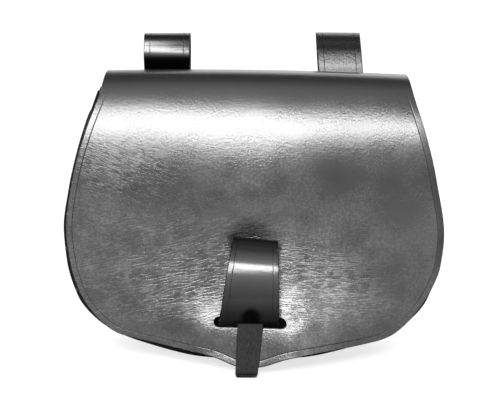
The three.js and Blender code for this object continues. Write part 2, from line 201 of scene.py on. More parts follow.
# Columns: forward of the flap's face and up from the slot's middle, half the strap's width.
STRAP_ROUTE = (
    (-14, 45, 21),
    (-12.9, 27, 21),
    (-11.6, 15, 21),
    (-9.8, 6, 20.8),
    (-5.2, 1.3, 20.6),
    (0.2, 0.3, 20.5),
    (3.4, 0.9, 20.5),
    (6.7, 2.2, 20.4),
    (9.8, 4.9, 20.3),
    (12.1, 8.6, 20.1),
    (12.9, 15, 19.5),
    (12.1, 24, 18.8),
    (10, 33.5, 18),
    (6.4, 42.5, 17.1),
    (1.2, 50, 16.2),
    (-3.2, 54.6, 15.7),
    (-4.7, 56.9, 15.4),
    (-6.7, 57.6, 15.2),
    (-8.3, 56, 15),
    (-8.6, 52, 14.5),
    (-7.5, 43, 13.5),
    (-5.7, 31, 12.2),
    (-3.8, 21, 11),
    (-0.7, 14, 10.2),
    (3.3, 8.6, 9.4),
    (8.3, 2, 8.8),
    (11.9, -6.4, 8.5),
    (15.1, -15.5, 8.1),
    (18.3, -23.4, 7.8),
    (21.5, -28.1, 7.6),
    (23.7, -29.2, 7.4),
)

# Columns: node, place across, width, lean in radians, how far its front strand sways, how far its top
# reclines, how much more it does so at its right edge, and how strongly painted shade blackens it below.
LOOPS = (
    ("belt_loop_left", -61.4, 32, 0, 4.5, 0, 2.4, 1),
    ("belt_loop_right", 60.5, 31, math.radians(-4), 0, 11, 0, 0),
)
LOOP_RECLINE_HEIGHT = 30
LOOP_FOOT = 150
LOOP_TOP = 220.5
LOOP_LEAN_HEIGHT = 195
LOOP_STEPS = 10
LOOP_SPACING = 1.2
# Columns: behind the back panel's face, below the loop's top, share of the sway, forward where positive.
LOOP_ROUTE = (
    (0.1, 69.4, 0),
    (0.1, 50, 0),
    (0.1, 34, -0.24),
    (-0.2, 28.5, -0.49),
    (-0.6, 24, -0.57),
    (-1, 20, -0.34),
    (-0.7, 16.5, -0.03),
    (0, 12.5, 0.135),
    (0.9, 9.5, 0.113),
    (2.2, 7, 0.15),
    (4.6, 2.2, 0.067),
    (8.8, 0, 0),
    (13, 2.3, 0),
    (15.4, 8, 0),
    (16, 18, 0),
    (13.6, 31, 0),
    (8.6, 44, 0),
    (4.2, 53, 0),
    (2.8, 58, 0),
    (2.8, 69.4, 0),
)

# How the leather was worked: cut edges are rounded over, and a line is creased along each edge.
# Columns: distance from the cut edge, depth below the face.
ROUNDED_EDGE = (
    (0, 0.5),
    (0.08, 0.24),
    (0.25, 0.08),
    (0.5, 0.01),
    (1, 0),
)
CREASE_WIDTH = 0.85
CREASE_DEPTH = 0.17
BAND_CREASE_DEPTH = 0.08
CREASE_ROWS = 7
COVER_CREASE = 4.3
LINE_RUNS_OUT = (14, 38)
PANEL_CREASE = 3.6
STRAP_CREASE = 4.6
LOOP_CREASE = 4.4
# The seams are sewn with waxed thread, along the creased line of each panel and across each loop's foot.
THREAD_THICK = 0.9
STITCH_PITCH = 4
STITCH_LENGTH = 3.1
SEAM_END = 4
LOOP_SEAMS = (3.5, 9.5)
STITCH_SIDES = 6
# Columns: share of a stitch's half length, share of its half thickness.
STITCH_FORM = (
    (-1, 0.15),
    (-0.9, 0.6),
    (-0.6, 0.95),
    (0.6, 0.95),
    (0.9, 0.6),
    (1, 0.15),
)

# How finely the pieces are laid out: distances between points, and numbers of points on a stretch. The
# cover's outline has more points below a height on its back and a length down its flap.
SHEET_SPACING = 2.2
FIELD_CLEAR = 0.7 * SHEET_SPACING
FIELD_ROWS_APART = math.sqrt(0.75) * SHEET_SPACING
EDGE_SPACING = 1.8
SLOT_SPACING = 1.2
OUTLINE_SPACING = 1
SLOT_TURNS = 24
BACK_ROUND_TO = 40
FLAP_ROUND_FROM = 167
ROUND_STEPS = 200
SIDE_STEPS = 400
PANEL_SIDE_STEPS = 500
PANEL_CORNER_STEPS = 20
BAND_COLUMNS = 9
# Places along a band are rounded to so many digits, a slope is measured over this distance to either side,
# and points that are closer than the last count as one.
ROW_DIGITS = 3
SLOPE_STEP = 0.4
SAME_POINT = 1e-5
# The kind of result that Blender's triangulation gives: triangles inside the edges alone.
TRIANGLES_INSIDE_EDGES = 1

# How it is finished. Creases lie on the flap falling to the right, level, and rising to the right, and the
# strap is streaked across its length.
FALLING, LEVEL, RISING = 0, 1, 2
# Columns: angle, length and spacing of each kind, and so for the streaks.
CREASES = (
    (math.radians(-22), 9.0, 1.15),
    (math.radians(-2), 11.0, 1.4),
    (math.radians(14), 12.0, 1.95),
)
STREAKS = (0.0, 9.0, 1.0)
# Columns: kind of crease, strength, middle and spread, across and down the flap.
CREASED = (
    (FALLING, 0.6, (-95, 75), (50, 28)),
    (FALLING, 0.4, (-105, 105), (40, 20)),
    (LEVEL, 1.2, (42, 160), (46, 34)),
    (LEVEL, 0.4, (-110, 118), (30, 16)),
    (RISING, 1.0, (-45, 156), (45, 38)),
    (RISING, 1.1, (-88, 152), (46, 36)),
    (RISING, 0.7, (-5, 116), (42, 12)),
)
LEVEL_ALL_OVER = 0.2
CREASES_BEGIN = (40, 70)
CREASES_END = (172, 192)
CREASES_LEFT = 0.25
# The creases' crest lines: how they break up, how they waver and how wide they are.
CREASE_DETAIL = 0.6
CREASE_WAVER = 0.1
CREST_WIDTH = 0.11
# The grain: pebbles, and pores between them.
PEBBLE_SMOOTH = 0.6
PORES_TO_A_PEBBLE = 2.3
PORE_DETAIL = 3.0
# Clouds over the hide: two values of their noise, and the haze at each.
CLOUD_SCALE = 0.045
CLOUD_DETAIL = 4.0
CLOUD_HAZE = (0.3, 0.7, 0.45, 1.55)
# Columns: how far it is rubbed clear, or left hazy if negative, middle and spread, across and down the flap.
RUBBED_CLEAR = (
    (0.85, (62, 78), (26, 14)),
    (0.8, (100, 95), (22, 26)),
    (0.85, (-72, 84), (34, 16)),
    (-0.6, (45, 120), (40, 16)),
    (-0.5, (0, 84), (30, 14)),
    (-1.5, (40, 158), (30, 26)),
    (-0.7, (44, 188), (40, 18)),
    (-0.5, (-40, 172), (26, 20)),
    (0.9, (0, 10.5), (200, 4)),
    (-0.35, (0, 20), (200, 7)),
)
# Two heights of the grain or of the creases, and the share of haze at each.
HAZE_IN_PORES = (-0.15, 0.45, 0.65, 1.35)
HAZE_ON_CREASES = (0.1, 1.0, 0.8, 2.0)
# The hide is evenly finished over the ridge, and mottled from here down the flap.
MOTTLED_FROM = (16, 46)
MOTTLED_MOST = 2.0
# Two heights of the strap's streaks, and the share of gloss at each.
GLOSS_ON_STREAKS = (0.0, 1.0, 1.0, 0.75)
EDGE_BLACK = (0.004, 0.004, 0.004)
# Two distances from a cut edge, or two shares of a creased line's depth, and the share of dull dye at each.
EDGE_DYED = (0.2, 0.7, 1.0, 0.0)
LINE_DYED = (0.2, 0.9, 0.0, 0.9)
# Chips of wear lie in the highest spots of a blotchy noise, which is raised towards a cut edge.
# The same grey also paints a highlight along the slot's lower lip.
WEAR_AND_HIGHLIGHT_GREY = (0.12, 0.12, 0.12)
WEAR_REACH = 2.2
WEAR_SCALE = 0.3
WEAR_DETAIL = 5.0
WEAR_AT_EDGE = 0.2
WEAR_CHIPS = (0.74, 0.82)
BARE_ROUGHNESS = 0.75
# The flesh side's fibres: their size, how they lie, two values of their noise and the share of tone at each.
FIBRE_ACROSS, FIBRE_ALONG = 1.0, 2.6
FIBRE_DETAIL = 5.0
FIBRE_TANGLE = 0.8
FIBRE_TONE = (0.3, 0.7, 0.75, 1.25)
FIBRE_HEIGHT = 0.06
FLESH_TONE = 0.004
# The thread's strands: their colours, two values of their noise and the roughness at each.
THREAD_DARK = (0.008, 0.008, 0.008)
THREAD_LIGHT = (0.03, 0.03, 0.03)
STRAND_SCALE = 900.0
STRAND_DETAIL = 3.0
STRAND_ROUGHNESS = (0.3, 0.7, 0.4, 0.6)
STRAND_HEIGHT = THREAD_THICK / 4
# Two places along the closing strap, and the share of the flesh side's tone at each.
TONGUE_FADE = (205, 245, 1.0, 0.45)
# Places along the closing strap, from its hidden end, that painted shade blackens.
SHADE_LOW, SHADE_LOW_TO = 0.86, (62, 104)
SHADE_FOLD, SHADE_FOLD_FROM = 0.8, (114, 118)
SHADE_SPOT, SHADE_SPOT_MIDDLE, SHADE_SPOT_SPREAD = 1.4, (1, 67), (10, 10)
# A highlight is painted in light grey along the slot's lower lip, over this distance from the cut.
LIP_HIGHLIGHT = (0.3, 1.0)
# The rim outside the creased line is darker and rougher down the flap's right side.
RIM_DARK = 0.5
RIM_DARK_FROM, RIM_DARK_TO = (30, 60), (130, 170)
# Painted shade blackens the left loop up to this length from its foot.
LOOP_SHADE_TO = (54.5, 60)

# The studio, in metres: a pale floor, soft lights under a dark ceiling, and a camera with the photo's view.
WHITE = (1, 1, 1)
BLACK = (0, 0, 0)
FLOOR_REACH = 6
FLOOR_WHITE = (0.3, 0.3, 0.3)
FLOOR_REFLECTED = (0.75, 0.75, 0.75)
FLOOR_GLOW = 0.73
FLOOR_ROUGHNESS = 0.7
# How steeply two directions rise, and the studio's brightness at each.
CEILING_SHADE = (0.1, 0.85, 1.0, 0.05)
# Columns: name, place, what it is aimed at, width and height, power, roll.
SOFTBOXES = (
    ("left_softbox", (-0.31, -1.0, 0.867), (-0.02, 0, 0.14), (0.74, 0.46), 18.1, math.radians(-5.5)),
    ("right_softbox", (0.31, -1.0, 0.857), (0.02, 0, 0.14), (0.68, 0.25), 9.2, 0),
    ("low_softbox", (0.62, -1.0, 0.42), (0.06, 0, 0.06), (0.44, 0.34), 0.9, 0),
    ("rear_softbox", (0.4, 1.1, 1.55), (0, 0, 0.2), (1.3, 1.0), 7, 0),
    ("back_softbox", (0, 2.6, 1.5), (0, 2.6, 0), (6.0, 3.0), 60, 0),
)
PHOTO_WIDTH = 500
SENSOR_WIDTH = 36
EYE = Vector((0, -0.8555 + SHIFT_Y * MM, 0.3318))
EYE_FOCAL_PIXELS = 1270
EYE_DOWN = math.radians(14.57)
EYE_LEFT = math.radians(0.158)
EYE_ROLL = math.radians(0.5)


# Curves

def smooth_curve(places, values):
    """A smooth curve, without overshoot, through values at growing places."""
    places = np.asarray(places, float)
    values = np.asarray(values, float)
    spans = np.diff(places)
    slopes = np.diff(values) / spans
    before, after = slopes[:-1], slopes[1:]
    same_way = before * after > 0
    total = np.where(same_way, before + after, 1)
    middle = np.where(same_way, 2 * before * after / total, 0)
    bends = np.concatenate([slopes[:1], middle, slopes[-1:]])

    def at(value):
        i = np.clip(np.searchsorted(places, value, side="right") - 1, 0, len(spans) - 1)
        t = np.clip((value - places[i]) / spans[i], 0, 1)
        rise = t * t * (3 - 2 * t)
        bend_in = t * (t - 1) ** 2
        bend_out = t * t * (t - 1)
        level = values[i] + (values[i + 1] - values[i]) * rise
        return level + spans[i] * (bend_in * bends[i] + bend_out * bends[i + 1])

    return at


def smoothstep(value, start, end):
    t = np.clip((value - start) / (end - start), 0, 1)
    return t * t * (3 - 2 * t)


def mound(x, y, middle, spread):
    """A soft round mound that is 1 at its middle."""
    return np.exp(-((x - middle[0]) / spread[0]) ** 2 - ((y - middle[1]) / spread[1]) ** 2)


def spline(points, steps):
    """Points along a smooth curve through the given ones, with even steps between each pair."""
    points = np.asarray(points, float)
    first = 2 * points[0] - points[1]
    last = 2 * points[-1] - points[-2]
    held = np.vstack([first, points, last])
    line = []
    for a, b, c, d in zip(held, held[1:], held[2:], held[3:]):
        for t in np.arange(steps) / steps:
            turn = (c - a) * t + (2 * a - 5 * b + 4 * c - d) * t ** 2 + (3 * b - a - 3 * c + d) * t ** 3
            line.append(b + turn / 2)
    line.append(points[-1])
    return np.array(line)


def line_lengths(line):
    """The length of a line up to each of its points."""
    return np.concatenate([[0], np.cumsum(np.linalg.norm(np.diff(line, axis=0), axis=1))])


def even_line(points, spacing, closed=False):
    """The line through points, with new points at even distances along it."""
    points = np.vstack([points, points[:1]]) if closed else np.asarray(points)
    lengths = line_lengths(points)
    count = max(2, round(lengths[-1] / spacing))
    places = np.linspace(0, lengths[-1], count + 1)
    line = np.column_stack([np.interp(places, lengths, column) for column in points.T])
    return line[:-1] if closed else line


flap_tilt = smooth_curve(*np.transpose(FLAP_TILT))
flap_half = smooth_curve(*np.transpose(FLAP_CUT)[[0, 1]])
flap_middle = smooth_curve(*np.transpose(FLAP_CUT)[[0, 2]])
body_half = smooth_curve(*np.transpose(BODY_CUT))

# The middle line of the flap's face, followed down from the ridge in short steps.
LINE_STEP = 0.25
LINE_DOWN = np.arange(0, FLAP_TILT[-1][0] + LINE_STEP, LINE_STEP)
line_tilt = np.radians(flap_tilt(LINE_DOWN[1:] - LINE_STEP / 2))
LINE_Y = RIDGE_Y - np.concatenate([[0], np.cumsum(LINE_STEP * np.sin(line_tilt))])
LINE_Z = RIDGE_HEIGHT - np.concatenate([[0], np.cumsum(LINE_STEP * np.cos(line_tilt))])


# The cover's place

def flap_swell(x, along):
    """How far the flap's face stands out from its plain form."""
    swell = 0
    for height, middle, spread in FLAP_SWELLS:
        swell = swell + height * mound(x, np.minimum(along, middle[1]), middle, spread)
    points = np.column_stack([np.ravel(x), np.ravel(along), np.zeros(np.size(x))]) / WAVE_LENGTH
    waves = np.array([noise.noise(point) for point in points.tolist()]).reshape(np.shape(x))
    swell = swell + WAVE_HEIGHT * waves * smoothstep(along, WAVES_FROM, WAVES_FULL)
    return swell - DENT_DEPTH * mound(x, along, DENT_MIDDLE, DENT_SPREAD)


def back_line(along):
    """Where the back's face lies at a length from the ridge: from front to back, and its height."""
    turn = np.clip(-along, 0, RIDGE_ARC) / RIDGE_RADIUS
    below = np.clip(-along - RIDGE_ARC, 0, None)
    y = RIDGE_Y + RIDGE_RADIUS * np.sin(turn)
    return y, RIDGE_HEIGHT - RIDGE_RADIUS * (1 - np.cos(turn)) - below


def cover_face(x, along):
    """A point on the cover's plain face: x across, and along from the ridge, down the flap if positive."""
    back_y, back_z = back_line(along)
    sideways = smoothstep(along, FLAP_SIDE_FROM, FLAP_SIDE_FULL) * (x / BODY_HALF) ** 2
    spread = np.exp(-((x - SLOT_X) / FLAP_KICK_SPREAD) ** 2)
    kick = smoothstep(along, FLAP_KICK_FROM, FLAP_KICK_FULL) * spread
    flap_y = np.interp(along, LINE_DOWN, LINE_Y) + FLAP_SIDE_BACK * sideways - FLAP_KICK * kick
    flap_z = np.interp(along, LINE_DOWN, LINE_Z)
    on_flap = along > 0
    near_ridge = 1 - smoothstep(np.abs(along), RIDGE_SAG_FULL, RIDGE_SAG_TO)
    out = x / RIDGE_HALF
    sag = near_ridge * (RIDGE_SAG * out ** 2 + RIDGE_SAG_TURN * out - RIDGE_RISE)
    y = np.where(on_flap, flap_y, back_y)
    z = np.where(on_flap, flap_z, back_z) - sag
    return np.stack([x, y, z], axis=-1)


def cover_normals(x, along):
    """The way out of the cover's plain face."""
    across = cover_face(x + SLOPE_STEP, along) - cover_face(x - SLOPE_STEP, along)
    downward = cover_face(x, along + SLOPE_STEP) - cover_face(x, along - SLOPE_STEP)
    normals = np.cross(downward, across)
    return normals / np.linalg.norm(normals, axis=-1, keepdims=True)


def cover_place(x, along, depth):
    """A point of the cover at a depth below its face."""
    normals = cover_normals(x, along)
    return cover_face(x, along) - normals * (depth - flap_swell(x, along))[..., None]


def back_along(height):
    """The length from the ridge at a height on the back."""
    return height - RIDGE_HEIGHT + RIDGE_RADIUS - RIDGE_ARC


def cover_cut(along):
    """The cover's left and right edge at a length from the ridge."""
    _, height = back_line(along)
    towards_ridge = smoothstep(along, back_along(SHOULDER_FROM), back_along(SHOULDER_TO))
    back_half = body_half(height) + (RIDGE_HALF - body_half(height)) * towards_ridge
    half = np.where(along > 0, flap_half(along), back_half)
    middle = np.where(along > 0, flap_middle(along), RIDGE_MIDDLE * towards_ridge)
    return middle - half, middle + half


# Cutting a sheet: rows of points along its cut edges, an even field between them, and its triangles

def edge_rows(loop, distances):
    """The closed loop moved into the leather, which lies on its left, by each of the distances."""
    ahead = np.roll(loop, -1, axis=0) - np.roll(loop, 1, axis=0)
    inward = np.column_stack([-ahead[:, 1], ahead[:, 0]])
    inward /= np.linalg.norm(inward, axis=1, keepdims=True)
    return [loop + inward * distance for distance in distances]


def groove(off_line):
    """How much of a creased line's depth there is at a distance from its middle."""
    return np.cos(np.clip(np.abs(off_line) / CREASE_WIDTH, 0, 0.5) * math.pi) ** 2


def edge_depth(distances):
    """How far the face is rounded over at distances from a cut edge."""
    return np.interp(distances, *np.transpose(ROUNDED_EDGE))


def crease_profile(crease):
    """Distances from a cut edge where the face has a row of points, and the creased line's share there."""
    distances = np.transpose(ROUNDED_EDGE)[0]
    grooves = np.zeros(len(distances))
    if crease:
        off_line = np.linspace(-0.5, 0.5, CREASE_ROWS) * CREASE_WIDTH
        before, after = crease - CREASE_WIDTH, crease + CREASE_WIDTH
        distances = np.concatenate([distances, [before], crease + off_line, [after]])
        grooves = np.concatenate([grooves, [0], groove(off_line), [0]])
    return distances, grooves


def field_points(loops, inside):
    """Points of an even triangular field, inside and clear of every loop's rows, and their distances."""
    edge_points = np.vstack([loop for loop, crease in loops])
    widths = [np.full(len(loop), crease_profile(crease)[0][-1]) for loop, crease in loops]
    row_widths = np.concatenate(widths)
    tree = kdtree.KDTree(len(edge_points))
    for i, (x, y) in enumerate(edge_points):
        tree.insert((x, y, 0), i)
    tree.balance()
    low, high = edge_points.min(0), edge_points.max(0)
    rows = np.arange(low[1], high[1], FIELD_ROWS_APART)
    columns = np.arange(low[0], high[0], SHEET_SPACING)
    points, distances = [], []
    for i, y in enumerate(rows):
        row = columns + (i % 2) * SHEET_SPACING / 2
        for x in row[inside(row, np.full_like(row, y))]:
            _, nearest, distance = tree.find((x, y, 0))
            if distance > row_widths[nearest] + FIELD_CLEAR:
                points.append((x, y))
                distances.append(distance)
    return np.array(points), np.array(distances)


def cut_sheet(loops, inside):
    """The flat sheet inside the loops, each given with the place of its crease.

    Gives its points, their distances from the cut edge, their share of a creased line, its faces and the
    rings of points along its cut edges.
    """
    points, distances, grooves, faces, rings, inner_rings = [], [], [], [], [], []
    start = 0
    for loop, crease in loops:
        count = len(loop)
        edge_distances, edge_grooves = crease_profile(crease)
        rows = edge_rows(loop, edge_distances)
        points += rows
        distances.append(np.repeat(edge_distances, count))
        grooves.append(np.repeat(edge_grooves, count))
        here = np.arange(count)
        ahead = np.roll(here, -1)
        for row in range(len(rows) - 1):
            a = start + row * count
            faces += np.column_stack([a + here, a + ahead, a + count + ahead, a + count + here]).tolist()
        rings.append(start + here)
        inner_rings.append(start + (len(rows) - 1) * count + here)
        start += len(rows) * count
    field, field_distances = field_points(loops, inside)
    points = np.vstack(points + [field])
    distances = np.concatenate(distances + [field_distances])
    grooves = np.concatenate(grooves + [np.zeros(len(field))])
    corners = np.concatenate(inner_rings + [start + np.arange(len(field))])
    edges = []
    for ring in inner_rings:
        places = np.searchsorted(corners[:sum(map(len, inner_rings))], ring)
        edges += np.column_stack([places, np.roll(places, -1)]).tolist()
    faces += fill_triangles(points[corners], edges, corners, inside)
    return points, distances, grooves, faces, rings


def fill_triangles(flat, edges, corners, inside):
    """Triangles between the edges and the points of the field."""
    points = [Vector(point) for point in flat]
    _, _, found, sources, _, _ = geometry.delaunay_2d_cdt(
        points, edges, [], TRIANGLES_INSIDE_EDGES, SAME_POINT
    )
    made_from = [ids[0] for ids in sources]
    triangles = np.array([[made_from[corner] for corner in face] for face in found])
    x, y = flat[triangles].mean(axis=1).T
    return corners[triangles[inside(x, y)]].tolist()


# Making a leather piece

def leather_object(name, node, points, faces, marks, material):
    """A mesh piece in the frame, for a CAD node if it is given. Marks are named values at its points."""
    mesh = bpy.data.meshes.new(name)
    placed = np.asarray(points, float) + (0, SHIFT_Y, 0)
    mesh.from_pydata((placed * MM).tolist(), [], faces)
    outward = bmesh.new()
    outward.from_mesh(mesh)
    bmesh.ops.recalc_face_normals(outward, faces=outward.faces)
    outward.to_mesh(mesh)
    outward.free()
    mesh.shade_smooth()
    for mark_name, values in marks.items():
        values = np.asarray(values, np.float32)
        kind, field = ("FLOAT_VECTOR", "vector") if values.ndim == 2 else ("FLOAT", "value")
        mesh.attributes.new(mark_name, kind, "POINT").data.foreach_set(field, values.ravel())
    mesh.materials.append(material)
    piece = bpy.data.objects.new(name, mesh)
    bpy.context.scene.collection.objects.link(piece)
    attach(piece, "root")
    if node:
        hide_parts(node)


def both_faces(outer, inner, flat, distances, grooves):
    """The points of a sheet's two faces, and their marks, such as the place in the pattern."""
    count = len(outer)
    pattern = np.column_stack([flat, np.zeros(count)])
    marks = {
        "pattern": np.vstack([pattern, pattern]),
        "edge_distance": np.concatenate([distances, distances]),
        "inner_side": np.concatenate([np.zeros(count), np.ones(count)]),
        "groove": np.concatenate([grooves, np.zeros(count)]),
    }
    return np.vstack([outer, inner]), marks


def with_inner_face(faces, count):
    """The outer face's polygons, and the same ones turned over on the inner face."""
    return faces + [[corner + count for corner in face[::-1]] for face in faces]


def wall_faces(rings, count):
    """The cut edge itself, from a ring on the outer face to the same ring on the inner face."""
    faces = []
    for ring in rings:
        ahead = np.roll(ring, -1)
        faces += np.column_stack([ahead, ring, ring + count, ahead + count]).tolist()
    return faces


def pattern_piece(name, node, loops, inside, place, thickness, material, slot,
                  lift=None, pressed=None, **marked):
    """A sheet cut to loops in its flat pattern and bent to its place, with any further marks."""
    flat, distances, grooves, faces, rings = cut_sheet(loops, inside)
    x, along = flat.T
    lifted = lift(along, distances) if lift else 0
    if pressed:
        grooves = grooves * pressed(along)
    outer = place(x, along, edge_depth(distances) + CREASE_DEPTH * grooves - lifted)
    inner = place(x, along, thickness - edge_depth(distances) - lifted)
    points, marks = both_faces(outer, inner, flat, distances, grooves)
    for mark_name, values in marked.items():
        marks[mark_name] = np.concatenate([values(x, along)] * 2)
    count = len(flat)
    all_faces = with_inner_face(faces, count) + wall_faces(rings, count)
    leather_object(name, node, points, all_faces, marks, material)


def grid_piece(name, node, outer, inner, flat, distances, grooves, dulled, is_cut, material):
    """A band made of two grids of points, without the cells that are cut out."""
    rows, columns = distances.shape
    count = rows * columns
    faces, edges = [], {}
    for row in range(rows - 1):
        for column in range(columns - 1):
            if is_cut(row, column):
                continue
            a = row * columns + column
            face = [a, a + columns, a + columns + 1, a + 1]
            faces.append(face)
            for start, end in zip(face, face[1:] + face[:1]):
                if edges.pop((end, start), None) is None:
                    edges[(start, end)] = True
    walls = [[end, start, start + count, end + count] for start, end in edges]
    all_faces = with_inner_face(faces, count) + walls
    points, marks = both_faces(
        outer.reshape(-1, 3), inner.reshape(-1, 3), flat.reshape(-1, 2), distances.ravel(), grooves.ravel()
    )
    marks["dulled"] = np.tile(dulled.ravel(), 2)
    leather_object(name, node, points, all_faces, marks, material)


# The pieces

def slot_outline():
    """The slot's outline with round ends, run so that the leather lies on its left."""
    round_half = SLOT_WIDTH / 2
    straight = SLOT_LENGTH / 2 - round_half
    turns = np.linspace(-math.pi / 2, math.pi / 2, SLOT_TURNS)
    right = np.column_stack([straight + round_half * np.cos(turns), round_half * np.sin(turns)])
    outline = np.vstack([right, -right]) + SLOT_MIDDLE
    return even_line(outline[::-1], SLOT_SPACING, closed=True)


def from_slot(x, along):
    """Distance from the slot's cut edge, negative inside the slot."""
    straight = (SLOT_LENGTH - SLOT_WIDTH) / 2
    beyond = np.clip(np.abs(x - SLOT_MIDDLE[0]) - straight, 0, None)
    return np.hypot(beyond, along - SLOT_MIDDLE[1]) - SLOT_WIDTH / 2


def in_cover(x, along):
    left, right = cover_cut(along)
    return (x > left) & (x < right) & (from_slot(x, along) > 0)


def cover_outline():
    """The cover's outline in its pattern, from the back's foot up the right side and round the flap."""
    foot = back_along(0)
    point = FLAP_CUT[-1][0]
    rise = np.linspace(0, 1, ROUND_STEPS) ** 2
    up_back = foot + (back_along(BACK_ROUND_TO) - foot) * rise
    down_flap = point - (point - FLAP_ROUND_FROM) * rise
    sides = np.linspace(back_along(BACK_ROUND_TO + 1), FLAP_ROUND_FROM - 1, SIDE_STEPS)
    along = np.concatenate([up_back, sides, down_flap[::-1]])
    left, right = cover_cut(along)
    outline = np.vstack([np.column_stack([right, along]), np.column_stack([left, along])[::-1]])
    return even_line(outline, EDGE_SPACING, closed=True)


def flap_creases(x, along):
    """How strongly the flap is creased falling to the right, level, and rising to the right."""
    strengths = np.zeros((len(x), len(CREASES)))
    strengths[:, LEVEL] = LEVEL_ALL_OVER
    for kind, strength, middle, spread in CREASED:
        strengths[:, kind] += strength * mound(x, along, middle, spread)
    on_flap = smoothstep(along, *CREASES_BEGIN) * (1 - (1 - CREASES_LEFT) * smoothstep(along, *CREASES_END))
    return strengths * on_flap[:, None]


def flap_rubbing(x, along):
    """How far the cover is rubbed clear, or left hazy where it is negative."""
    return sum(share * mound(x, along, middle, spread) for share, middle, spread in RUBBED_CLEAR)


def rim_lift(along, distances):
    """How far the flap's rim is turned up, most at the cut edge and nothing at the creased line."""
    outside = np.clip(1 - distances / COVER_CREASE, 0, 1)
    return RIM_LIFT * outside * smoothstep(along, RIM_LIFT_FROM, RIM_LIFT_FULL)


def lip_worn(x, along):
    """How strongly a highlight is painted along the slot's lower lip."""
    lower = smoothstep(along - SLOT_MIDDLE[1], 0, SLOT_WIDTH / 2)
    return lower * (1 - smoothstep(from_slot(x, along), *LIP_HIGHLIGHT))


def rim_dulled(x, along):
    """How far the flap's rim is made darker and rougher."""
    outside = 1 - smoothstep(cover_cut(along)[1] - x, COVER_CREASE - CREASE_WIDTH, COVER_CREASE)
    return RIM_DARK * outside * smoothstep(along, *RIM_DARK_FROM) * (1 - smoothstep(along, *RIM_DARK_TO))


def line_pressed(along):
    """How deeply the line is creased along the cover's edge: it runs out towards the ridge."""
    return smoothstep(np.abs(along), *LINE_RUNS_OUT)


def make_cover(material):
    loops = [(cover_outline(), COVER_CREASE), (slot_outline(), None)]
    pattern_piece(
        "back_and_flap_leather", "back_and_flap", loops, in_cover, cover_place, COVER_THICK,
        material, "cover_leather", rim_lift, line_pressed, creases=flap_creases, rubbing=flap_rubbing,
        dulled=rim_dulled, lip_worn=lip_worn,
    )


def panel_y(x, height):
    """Where the front panel's face lies from front to back."""
    down = np.interp(-height, -LINE_Z, LINE_DOWN)
    sideways = smoothstep(down, FLAP_SIDE_FROM, FLAP_SIDE_FULL) * (x / BODY_HALF) ** 2
    tuck = PANEL_TUCK * (1 - smoothstep(height, 0, PANEL_TUCK_HEIGHT))
    pushed = tuck + DENT_DEPTH * mound(x, down, DENT_MIDDLE, DENT_SPREAD)
    return np.interp(down, LINE_DOWN, LINE_Y) + PANEL_BEHIND_FLAP + PANEL_SIDE_BACK * sideways + pushed


def panel_place(x, height, depth):
    """A point at a depth behind the front panel's face, measured square to the panel's slope."""
    slope = (panel_y(x, height + SLOPE_STEP) - panel_y(x, height - SLOPE_STEP)) / (2 * SLOPE_STEP)
    return np.stack([x, panel_y(x, height) + depth * np.hypot(1, slope), height], axis=-1)


def in_panel(x, height):
    return (np.abs(x) < body_half(height)) & (height > 0) & (height < PANEL_TOP)


def make_front_panel(material):
    heights = (PANEL_TOP - PANEL_CORNER) * np.linspace(0, 1, PANEL_SIDE_STEPS) ** 2
    side = np.column_stack([body_half(heights), heights])
    corner = np.array([body_half(PANEL_TOP), PANEL_TOP])
    t = np.linspace(0, 1, PANEL_CORNER_STEPS)[1:, None]
    turn = (1 - t) ** 2 * side[-1] + 2 * t * (1 - t) * corner + t * t * (corner - (PANEL_CORNER, 0))
    right = np.vstack([side, turn])
    outline = even_line(np.vstack([right, right[::-1] * (-1, 1)]), EDGE_SPACING, closed=True)
    pattern_piece(
        "front_panel_leather", "front_panel", [(outline, PANEL_CREASE)], in_panel, panel_place,
        PANEL_THICK, material, "body_leather",
    )


def body_outline():
    """The body's outline from the top on the right, round the bottom, to the top on the left."""
    heights = GUSSET_TOP * np.linspace(1, 0, SIDE_STEPS) ** 2
    right = np.column_stack([body_half(heights), heights])
    outline = np.vstack([right, right[::-1] * (-1, 1)])
    return even_line(outline, OUTLINE_SPACING)


def gusset_section():
    """The section's corners: how far inside the outline, depth from a panel, and from 0 front to 1 back."""
    skin = WEB_INSET + GUSSET_THICK
    bevelled = FLANGE_SHORT + FLANGE_BEVEL
    bend = FLANGE_BEND * FLANGE_BEND_SHARE
    inner = [
        (FLANGE_SHORT, FLANGE_BEVEL),
        (bevelled, 0),
        (skin - FLANGE_BEND, 0),
        (skin - bend, bend),
        (skin, FLANGE_BEND),
    ]
    outer = [
        (WEB_INSET, GUSSET_THICK + FLANGE_BEND / 2),
        (WEB_INSET - FLANGE_BEND / 2, GUSSET_THICK),
        (bevelled, GUSSET_THICK),
        (FLANGE_SHORT, GUSSET_THICK - FLANGE_BEVEL),
    ]
    front_inner, front_outer = [[(*corner, 0) for corner in side] for side in (inner, outer)]
    back_inner, back_outer = [[(*corner, 1) for corner in side[::-1]] for side in (inner, outer)]
    fold_inner = [(skin + WEB_FOLD * height, 0, share) for share, height in WEB_FOLD_FORM]
    fold_outer = [(inset - GUSSET_THICK, 0, share) for inset, _, share in fold_inner[::-1]]
    return front_inner + fold_inner + back_inner + back_outer + fold_outer + front_outer


def outline_inward(outline):
    """The way into the body at each point of its outline."""
    ahead = np.gradient(outline, axis=0)
    inward = np.column_stack([ahead[:, 1], -ahead[:, 0]])
    return inward / np.linalg.norm(inward, axis=1, keepdims=True)


